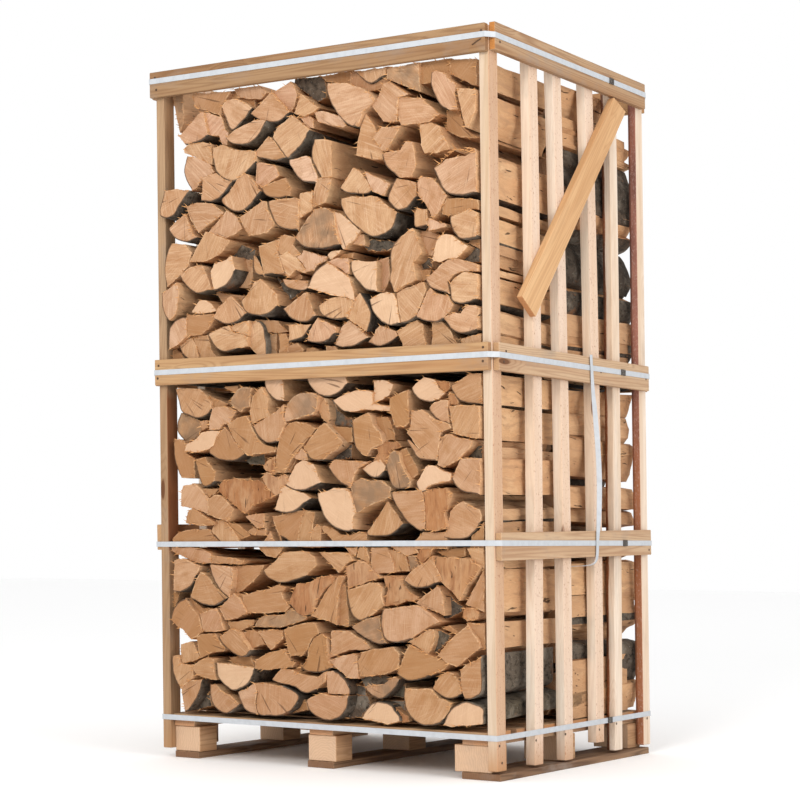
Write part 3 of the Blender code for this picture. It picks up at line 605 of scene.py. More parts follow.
# %% Log ends of the upper band
UPPER_BAND = [
    (0, "plain", [(-550, 1595), (-500, 1590), (-473, 1564), (-490, 1520), (-520, 1495), (-573, 1463)],
     [(-589, 1495), (-583, 1538), (-565, 1575)]),
    (60, "bark", [(-400, 1510), (-310, 1590), (-225, 1552), (-235, 1520), (-310, 1535)]),
    (0, "plain", [(-520, 1495), (-490, 1517), (-450, 1523), (-434, 1521), (-412, 1485), (-395, 1443)],
     [(-450, 1435), (-493, 1460)]),
    (-10, "pale", [(-390, 1441), (-404, 1501), (-384, 1523), (-346, 1531), (-316, 1540), (-304, 1500)],
     [(-321, 1470), (-349, 1449)]),
    (60, "orange", [(-310, 1528), (-238, 1523), (-236, 1470), (-250, 1440), (-330, 1445)]),
    (0, "orange", [(-196, 1470), (-219, 1565), (-181, 1573), (-137, 1579), (-145, 1540), (-140, 1530),
     (-118, 1476), (-153, 1477)], [(-214, 1476), (-233, 1491), (-238, 1507), (-235, 1540)]),
    (5, "plain", [(-140, 1530), (-110, 1542), (-76, 1521), (-45, 1485), (-51, 1473), (-81, 1484),
     (-104, 1462), (-109, 1461)]),
    (0, "orange", [(-137, 1586), (-118, 1593), (-75, 1581), (-86, 1559), (-56, 1529), (-76, 1523),
     (-138, 1532), (-145, 1550)]),
    (5, "plain", [(-50, 1540), (-28, 1535), (0, 1523), (32, 1515), (30, 1502), (0, 1490), (-12, 1476),
     (-50, 1472), (-43, 1487), (-74, 1521), (-56, 1529)]),
    (-10, "plain", [(-286, 1400), (-261, 1419), (-240, 1444), (-230, 1459), (-208, 1463), (-147, 1415),
     (-147, 1382)], [(-169, 1365), (-200, 1355), (-224, 1354), (-268, 1369)]),
    (10, "plain", [(-125, 1458), (-65, 1451), (-31, 1449), (-37, 1426)],
     [(-53, 1421), (-97, 1426), (-119, 1441)]),
    (50, "bark", [(-150, 1470), (-110, 1440), (-50, 1420), (-95, 1395), (-110, 1395)]),
    (30, "brown", [(-97, 1462), (-81, 1484), (-53, 1464), (-55, 1452), (-92, 1452)]),
    (-19, "plain", [(-597, 1444), (-550, 1463), (-533, 1476), (-523, 1460), (-526, 1419), (-540, 1375),
     (-565, 1358)], [(-581, 1372), (-597, 1407), (-601, 1425)]),
    (0, "pale", [(-475, 1378), (-462, 1397), (-443, 1413), (-415, 1412), (-399, 1401), (-377, 1376),
     (-440, 1371)]),
    (0, "brown", [(-493, 1372), (-475, 1371), (-399, 1368), (-381, 1367), (-390, 1350), (-409, 1327),
     (-430, 1310), (-470, 1303), (-495, 1305), (-496, 1340)]),
    (-5, "plain", [(-497, 1363), (-495, 1305), (-525, 1285), (-550, 1272), (-567, 1269)],
     [(-570, 1290), (-564, 1328), (-553, 1344), (-537, 1354), (-518, 1363)]),
    (0, "plain", [(-525, 1275), (-497, 1294), (-475, 1300), (-458, 1278), (-449, 1240), (-455, 1225),
     (-480, 1225)], [(-500, 1240), (-515, 1253)]),
    (15, "orange", [(-470, 1302), (-412, 1306), (-400, 1262), (-378, 1230), (-440, 1230), (-455, 1270)]),
    (0, "plain", [(-412, 1306), (-381, 1319), (-355, 1327), (-330, 1327), (-320, 1312), (-280, 1298),
     (-258, 1292), (-261, 1263), (-302, 1259)], [(-334, 1252), (-362, 1253), (-384, 1266), (-399, 1285)]),
    (5, "plain", [(-327, 1328), (-302, 1332), (-255, 1341), (-254, 1319), (-258, 1294), (-280, 1299),
     (-318, 1314)]),
    (0, "plain", [(-189, 1230), (-218, 1230), (-255, 1262), (-257, 1291), (-252, 1319), (-243, 1338),
     (-232, 1341)], [(-214, 1335), (-200, 1318), (-194, 1290), (-189, 1262)]),
    (0, "plain", [(-384, 1352), (-387, 1363), (-374, 1382), (-333, 1416), (-321, 1419), (-286, 1388),
     (-264, 1366)], [(-293, 1344), (-318, 1336), (-340, 1335), (-365, 1341)]),
    (40, "brown", [(-384, 1437), (-330, 1425), (-268, 1418), (-286, 1400), (-350, 1395)]),
    (30, "brown", [(-232, 1341), (-147, 1336), (-137, 1322), (-108, 1300), (-153, 1297), (-196, 1305)]),
    (40, "mould", [(-192, 1293), (-153, 1296), (-151, 1230), (-190, 1230)]),
    (10, "orange", [(-143, 1296), (-118, 1297), (-108, 1270), (-115, 1230), (-143, 1230)]),
    (0, "plain", [(-109, 1270), (-105, 1290), (-106, 1318), (-24, 1318)], [(-50, 1288), (-81, 1274)]),
    (10, "orange", [(-112, 1258), (-75, 1266), (-53, 1243), (-60, 1230), (-112, 1230)]),
    (-5, "plain", [(-40, 1270), (-31, 1294), (-18, 1318), (0, 1337), (16, 1325), (63, 1305), (60, 1290)],
     [(40, 1272), (20, 1264), (0, 1262), (-24, 1264)]),
    (15, "orange", [(-45, 1245), (-20, 1250), (0, 1240), (-5, 1225), (-45, 1225)]),
    (15, "plain", [(29, 1250), (60, 1250), (70, 1236), (25, 1225)]),
    (0, "plain", [(-125, 1369), (-103, 1379), (-50, 1413), (-37, 1414), (-34, 1394), (-10, 1344)],
     [(-37, 1327), (-59, 1325), (-81, 1332), (-103, 1343)]),
    (0, "plain", [(2, 1371), (26, 1383), (51, 1393), (82, 1394), (132, 1379), (118, 1355), (107, 1330)],
     [(76, 1327), (51, 1329), (32, 1336), (14, 1346)]),
    (-5, "pale", [(-37, 1426), (-24, 1423), (7, 1413), (51, 1399), (98, 1391), (132, 1379), (128, 1410),
     (114, 1447), (101, 1457), (60, 1485), (35, 1499)], [(4, 1482), (-15, 1466), (-28, 1444)]),
    (0, "plain", [(38, 1499), (51, 1506), (76, 1509), (110, 1504), (114, 1480), (113, 1457), (101, 1461),
     (82, 1475)]),
    (10, "pale", [(37, 1519), (51, 1529), (85, 1531), (76, 1519), (55, 1507), (47, 1506)]),
    (25, "brown", [(76, 1519), (130, 1520), (125, 1504), (64, 1509)]),
    (10, "plain", [(120, 1545), (132, 1558), (148, 1573), (167, 1571), (173, 1545), (168, 1538), (145, 1541)],
     []),
    (35, "bark", [(173, 1575), (185, 1560), (250, 1545), (275, 1540), (258, 1515), (180, 1520), (170, 1535)],
     []),
    (0, "pale", [(117, 1495), (132, 1499), (164, 1491), (210, 1490), (212, 1450), (212, 1401)],
     [(176, 1407), (154, 1424), (132, 1446), (120, 1466)]),
    (35, "orange", [(211, 1492), (253, 1498), (258, 1440), (235, 1398), (212, 1400)]),
    (-5, "plain", [(271, 1397), (310, 1414), (346, 1427), (343, 1457), (337, 1476), (349, 1482), (368, 1503),
     (356, 1532), (345, 1565), (334, 1576), (324, 1574), (290, 1552)],
     [(271, 1538), (260, 1523), (256, 1500), (258, 1463), (255, 1432)]),
    (30, "orange", [(345, 1566), (399, 1562), (428, 1549), (412, 1513), (404, 1492), (368, 1497)]),
    (45, "bark", [(346, 1452), (400, 1455), (405, 1490), (370, 1495), (345, 1480)]),
    (35, "brown", [(343, 1455), (398, 1452), (390, 1435), (372, 1420), (346, 1422)]),
    (0, "pale", [(400, 1483), (418, 1529), (431, 1546), (450, 1550), (468, 1545), (487, 1531), (522, 1510),
     (505, 1493), (484, 1479), (456, 1480), (428, 1471), (406, 1476)]),
    (40, "bark", [(485, 1478), (522, 1512), (548, 1510), (560, 1500), (560, 1462), (520, 1462)]),
    (20, "brown", [(530, 1530), (560, 1530), (560, 1500), (522, 1518)]),
    (0, "plain", [(377, 1426), (399, 1441), (431, 1466), (453, 1477), (471, 1480), (509, 1470), (558, 1456),
     (558, 1438), (518, 1441), (493, 1440), (471, 1432), (449, 1413), (456, 1380)],
     [(431, 1386), (409, 1394), (393, 1404)]),
    (-5, "plain", [(456, 1404), (468, 1419), (493, 1433), (506, 1437), (528, 1435), (562, 1430), (562, 1360),
     (545, 1359)], [(525, 1352), (500, 1349), (478, 1352), (462, 1363)]),
    (0, "plain", [(291, 1303), (287, 1332), (279, 1370), (276, 1393), (302, 1401), (337, 1411), (373, 1418),
     (377, 1407), (381, 1394), (359, 1350), (346, 1322)], [(335, 1314), (315, 1306)]),
    (0, "pale", [(180, 1380), (205, 1390), (221, 1394), (246, 1397), (271, 1394), (276, 1375), (291, 1305)],
     [(274, 1300), (249, 1301), (227, 1310), (205, 1330), (188, 1354)]),
    (0, "plain", [(173, 1286), (145, 1303), (117, 1319), (106, 1330), (107, 1338), (123, 1363), (139, 1388),
     (151, 1401)], [(160, 1394), (173, 1374), (186, 1350), (189, 1332), (184, 1308)]),
    (0, "plain", [(57, 1253), (73, 1281), (88, 1307), (109, 1321), (157, 1294), (167, 1278), (179, 1269)],
     [(160, 1259), (139, 1248), (113, 1244), (82, 1245)]),
    (0, "plain", [(179, 1254), (198, 1275), (205, 1290), (219, 1303), (243, 1294), (274, 1283), (280, 1269)],
     [(262, 1255), (243, 1245), (212, 1241)]),
    (5, "plain", [(277, 1280), (305, 1294), (337, 1308), (346, 1311), (366, 1297), (372, 1263), (383, 1230),
     (300, 1230), (287, 1262)]),
    (10, "orange", [(397, 1300), (431, 1302), (456, 1278), (468, 1259), (486, 1230), (396, 1230)]),
    (0, "plain", [(346, 1319), (365, 1357), (381, 1388), (393, 1401), (412, 1386), (453, 1374), (459, 1360),
     (468, 1350), (455, 1330), (440, 1313)], [(412, 1303), (393, 1304), (368, 1309)]),
    (0, "plain", [(437, 1310), (449, 1319), (475, 1325), (493, 1321), (503, 1332), (512, 1341), (540, 1343),
     (560, 1334), (560, 1278), (545, 1274)], [(525, 1266), (500, 1264), (475, 1271), (456, 1285)]),
    (40, "bark", [(462, 1345), (480, 1350), (500, 1340), (505, 1330), (490, 1322), (462, 1325)]),
    (10, "plain", [(493, 1248), (531, 1258), (560, 1261), (560, 1225), (493, 1225)]),
    (30, "brown", [(-570, 1262), (-537, 1266), (-515, 1252), (-505, 1230), (-570, 1230)]),
    (40, "brown", [(-572, 1345), (-553, 1344), (-560, 1300), (-565, 1268), (-574, 1268)]),
]
print(len(UPPER_BAND), "log ends in the upper band")

# %% Log ends of the middle band
MIDDLE_BAND = [
    (0, "plain", [(-545, 1145), (-449, 1142), (-420, 1117), (-404, 1097), (-401, 1079)],
     [(-413, 1062), (-451, 1050), (-486, 1058), (-520, 1075), (-532, 1110)]),
    (30, "mould", [(-522, 1069), (-461, 1048), (-444, 1041), (-440, 1013), (-461, 986), (-500, 975)],
     [(-531, 1006), (-536, 1034)]),
    (10, "plain", [(-447, 1041), (-416, 1043), (-420, 1020), (-440, 1010)]),
    (0, "plain", [(-411, 1013), (-411, 1038), (-399, 1079), (-388, 1083), (-350, 1084), (-309, 1069),
     (-333, 1031), (-355, 1030), (-375, 1013)]),
    (20, "orange", [(-413, 1120), (-335, 1090), (-345, 1083), (-395, 1083), (-402, 1095)]),
    (20, "plain", [(-354, 1142), (-300, 1146), (-300, 1120), (-320, 1125)]),
    (0, "mould", [(-291, 1062), (-333, 1090), (-326, 1110), (-305, 1131), (-284, 1140), (-245, 1136),
     (-254, 1110), (-254, 1079), (-281, 1076)]),
    (0, "plain", [(-253, 1083), (-243, 1110), (-225, 1128), (-208, 1138), (-187, 1100), (-190, 1070),
     (-180, 1050), (-250, 1027), (-255, 1060)]),
    (-5, "plain", [(-246, 1020), (-219, 1034), (-153, 1064), (-127, 1083), (-132, 1045), (-120, 1024),
     (-141, 996), (-152, 973)], [(-172, 968), (-200, 970), (-226, 989)]),
    (0, "pale", [(-200, 1165), (-131, 1165), (-127, 1093)], [(-155, 1095), (-176, 1110), (-195, 1133)]),
    (0, "pale", [(-50, 1165), (95, 1165), (105, 1138)], [(77, 1114), (43, 1102), (4, 1105), (-27, 1128)]),
    (0, "mould", [(-134, 1030), (-117, 1083), (-96, 1103), (-61, 1116), (-27, 1114), (0, 1103), (-9, 1065),
     (-20, 1048), (-60, 1045), (-113, 1032)]),
    (5, "orange", [(-9, 1079), (1, 1100), (22, 1097), (34, 1075), (39, 1041), (32, 1018), (8, 1041)]),
    (45, "bark", [(25, 1097), (50, 1094), (64, 1062), (98, 1038), (119, 1034), (119, 1008), (35, 1018)]),
    (0, "pale", [(51, 1088), (77, 1100), (105, 1110), (133, 1116), (167, 1114), (190, 1108), (192, 1076),
     (250, 1065), (250, 1050), (164, 1058), (112, 1052)], [(88, 1055), (67, 1070)]),
    (0, "pale", [(197, 1079), (196, 1142), (232, 1143), (263, 1128), (249, 1097), (225, 1086)]),
    (0, "brown", [(249, 1090), (284, 1104), (313, 1112), (313, 1065), (317, 1015), (298, 1003), (270, 1003),
     (260, 1031), (249, 1058)]),
    (-5, "plain", [(374, 906), (308, 986), (322, 1006), (328, 1050), (360, 1053), (402, 1024), (450, 1010),
     (457, 997), (423, 986), (416, 958), (409, 904)], [(346, 912), (326, 937), (309, 966)]),
    (0, "pale", [(325, 1114), (346, 1131), (367, 1145), (405, 1135), (416, 1114), (437, 1097), (416, 1081),
     (402, 1076)], [(391, 1072), (364, 1079), (340, 1093)]),
    (15, "torn", [(405, 1135), (452, 1128), (455, 1115), (437, 1100), (418, 1114)]),
    (0, "plain", [(384, 1058), (402, 1072), (423, 1079), (447, 1076), (447, 1048), (450, 1012)],
     [(430, 1013), (409, 1027), (391, 1045)]),
    (0, "plain", [(457, 1117), (482, 1131), (506, 1142), (523, 1149), (560, 1149), (560, 1062)],
     [(527, 1064), (492, 1072), (471, 1090)]),
    (10, "torn", [(450, 1100), (468, 1085), (478, 1075), (478, 1063), (455, 1065), (448, 1080)]),
    (-5, "plain", [(475, 979), (464, 982), (450, 1058), (482, 1062), (527, 1060), (562, 1058), (562, 965),
     (527, 967), (502, 972)]),
    (0, "plain", [(409, 892), (412, 920), (417, 958), (436, 979), (454, 979), (475, 972), (527, 961),
     (523, 944), (499, 923), (482, 906), (447, 889), (430, 883)]),
    (40, "bark", [(500, 925), (528, 947), (560, 945), (560, 908), (495, 912)]),
    (0, "plain", [(457, 852), (468, 875), (485, 909), (527, 911), (560, 909), (562, 806)],
     [(527, 810), (499, 814), (475, 826)]),
    (0, "pale", [(336, 840), (350, 857), (367, 889), (378, 892), (405, 890), (423, 878), (457, 868),
     (455, 848), (388, 836), (367, 820)], [(346, 816)]),
    (0, "mould", [(235, 892), (249, 930), (263, 937), (281, 933), (284, 902), (298, 875), (318, 850),
     (312, 830)], [(294, 825), (270, 825), (252, 840)]),
    (15, "orange", [(281, 935), (305, 945), (330, 905), (345, 880), (345, 865), (318, 850), (298, 875)]),
    (0, "orange", [(119, 1027), (147, 1041), (174, 1048), (181, 1041), (192, 1013), (216, 986), (223, 958),
     (181, 940), (167, 923), (150, 927)], [(130, 944), (122, 972)]),
    (25, "orange", [(185, 1035), (242, 1034), (253, 1024), (268, 985), (266, 966), (222, 965), (200, 1000)],
     []),
    (10, "torn", [(201, 950), (225, 960), (274, 965), (285, 948), (255, 938), (240, 900), (225, 880),
     (190, 905), (205, 930)]),
    (5, "pale", [(150, 885), (167, 896), (195, 909), (215, 912), (234, 892), (230, 880)],
     [(216, 864), (199, 857), (174, 864)]),
    (0, "plain", [(29, 892), (43, 909), (50, 913), (102, 911), (147, 906), (181, 908), (140, 885), (122, 868),
     (119, 847), (109, 831)], [(84, 840), (53, 860)]),
    (0, "mould", [(109, 830), (122, 847), (150, 858), (167, 852), (216, 850), (250, 830), (250, 802),
     (216, 791), (167, 774), (129, 757), (119, 781)]),
    (-5, "pale", [(-9, 816), (15, 819), (50, 830), (95, 830), (105, 819), (116, 790), (129, 757), (116, 745),
     (117, 708)], [(98, 703), (70, 706), (43, 718), (15, 743), (1, 774), (-8, 798)]),
    (0, "plain", [(167, 691), (167, 705), (185, 719), (216, 760), (240, 790), (292, 725)],
     [(277, 712), (249, 694), (215, 687)]),
    (0, "orange", [(251, 816), (301, 821), (353, 819), (360, 805), (366, 771), (364, 711)],
     [(353, 703), (332, 712), (301, 732), (280, 760), (260, 790)]),
    (0, "torn", [(355, 814), (395, 823), (437, 826), (457, 812), (447, 788), (430, 757), (437, 733),
     (433, 712), (402, 702), (369, 705), (369, 778), (362, 800)]),
    (0, "plain", [(430, 686), (440, 719), (447, 746), (450, 760), (468, 778), (495, 788), (527, 774),
     (548, 764), (556, 745), (553, 732)], [(537, 708), (513, 688), (492, 681), (450, 680)]),
    (10, "orange", [(332, 677), (360, 701), (430, 700), (437, 680), (437, 652), (332, 652)]),
    (15, "brown", [(520, 690), (545, 705), (560, 728), (560, 652), (515, 652)]),
    (5, "plain", [(-37, 655), (-34, 705), (-13, 726), (4, 716), (0, 655)]),
    (5, "plain", [(4, 712), (15, 719), (43, 712), (70, 694), (102, 691), (140, 701), (164, 694), (164, 660),
     (57, 660), (25, 694)]),
    (0, "brown", [(-141, 655), (-174, 748), (-131, 755), (-86, 764), (-56, 766), (-75, 719), (-86, 655)],
     [(-150, 690)]),
    (12, "orange", [(-56, 766), (-20, 760), (-25, 720), (-40, 655), (-86, 655), (-75, 719)]),
    (0, "pale", [(-165, 765), (-151, 812), (-141, 833), (-127, 838), (-99, 826), (-61, 817), (-30, 801)],
     [(-61, 784), (-79, 769), (-103, 760), (-134, 759)]),
    (0, "pale", [(-127, 841), (-106, 875), (-89, 902), (-65, 915), (-23, 902), (-13, 885), (5, 847)],
     [(-13, 839), (-47, 826), (-72, 824), (-100, 828)]),
    (-5, "orange", [(-51, 937), (-61, 951), (-44, 968), (-20, 993), (1, 1013), (18, 1024), (29, 1020),
     (60, 990), (88, 965), (77, 954), (43, 934), (15, 916)], [(-6, 912), (-35, 918)]),
    (20, "brown", [(30, 1018), (60, 1010), (117, 1010), (119, 965), (90, 962)]),
    (40, "bark", [(45, 934), (88, 962), (119, 958), (115, 915), (15, 914)]),
    (0, "orange", [(-162, 878), (-158, 906), (-155, 958), (-137, 1003), (-113, 1024), (-86, 1031),
     (-51, 1024), (-12, 1006), (-51, 968), (-96, 923), (-127, 878)]),
    (5, "plain", [(-98, 925), (-64, 950), (-48, 935), (-40, 912), (-85, 918)]),
    (20, "mould", [(-113, 902), (-96, 920), (-85, 915), (-110, 878), (-125, 878)]),
    (0, "brown", [(-413, 944), (-399, 972), (-371, 1006), (-350, 1021), (-340, 1010), (-298, 958),
     (-277, 937)], [(-298, 922), (-329, 916), (-357, 918), (-385, 925)]),
    (0, "orange", [(-340, 1027), (-302, 1048), (-267, 1051), (-253, 1027), (-232, 986), (-208, 965),
     (-160, 952), (-166, 940), (-270, 932), (-298, 958), (-322, 992)]),
    (0, "pale", [(-506, 951), (-499, 972), (-479, 979), (-461, 989), (-444, 1006), (-420, 1010), (-371, 1008),
     (-388, 986), (-399, 965), (-413, 954), (-451, 944), (-479, 944)]),
    (10, "brown", [(-549, 980), (-541, 987), (-508, 982), (-500, 960), (-505, 945), (-472, 925), (-472, 864),
     (-524, 867)], [(-537, 890), (-547, 925), (-550, 960)]),
    (5, "brown", [(-470, 923), (-430, 930), (-420, 915), (-388, 885), (-394, 856)],
     [(-406, 844), (-440, 844)]),
    (0, "plain", [(-527, 779), (-525, 816), (-517, 843), (-472, 849), (-440, 826), (-420, 802), (-420, 750),
     (-451, 764), (-482, 774)]),
    (10, "orange", [(-451, 832), (-380, 832), (-392, 815), (-420, 803)]),
    (0, "plain", [(-418, 803), (-392, 813), (-370, 812), (-322, 771), (-333, 746), (-350, 733), (-392, 743),
     (-418, 753)]),
    (0, "orange", [(-510, 727), (-506, 746), (-496, 767), (-482, 772), (-451, 760), (-392, 728), (-400, 720),
     (-451, 720)]),
    (15, "brown", [(-555, 681), (-534, 698), (-485, 708), (-413, 709), (-405, 690), (-360, 655), (-555, 655)],
     []),
    (0, "plain", [(-409, 701), (-392, 739), (-364, 736), (-350, 729), (-305, 681), (-298, 655), (-350, 655)],
     []),
    (20, "brown", [(-350, 730), (-305, 722), (-272, 702), (-260, 690), (-300, 672)]),
    (0, "torn", [(-375, 823), (-371, 847), (-350, 859), (-298, 864), (-267, 854), (-232, 857), (-194, 840),
     (-163, 805), (-201, 795), (-253, 778), (-277, 753), (-295, 764), (-347, 802)]),
    (5, "plain", [(-277, 746), (-250, 752), (-205, 757), (-205, 729), (-208, 712), (-232, 712), (-253, 725)],
     []),
    (10, "orange", [(-270, 700), (-246, 715), (-228, 706), (-200, 712), (-200, 690), (-255, 690)]),
    (10, "plain", [(-222, 655), (-185, 702), (-160, 655)]),
    (0, "torn", [(-212, 900), (-190, 920), (-165, 928), (-160, 885), (-162, 870), (-195, 885)]),
    (0, "torn", [(-212, 860), (-195, 880), (-160, 868), (-125, 870), (-108, 850), (-130, 838), (-150, 815),
     (-165, 808), (-195, 838), (-208, 850)]),
    (50, "bark", [(-290, 932), (-200, 935), (-200, 900), (-260, 905)]),
]
print(len(MIDDLE_BAND), "log ends in the middle band")

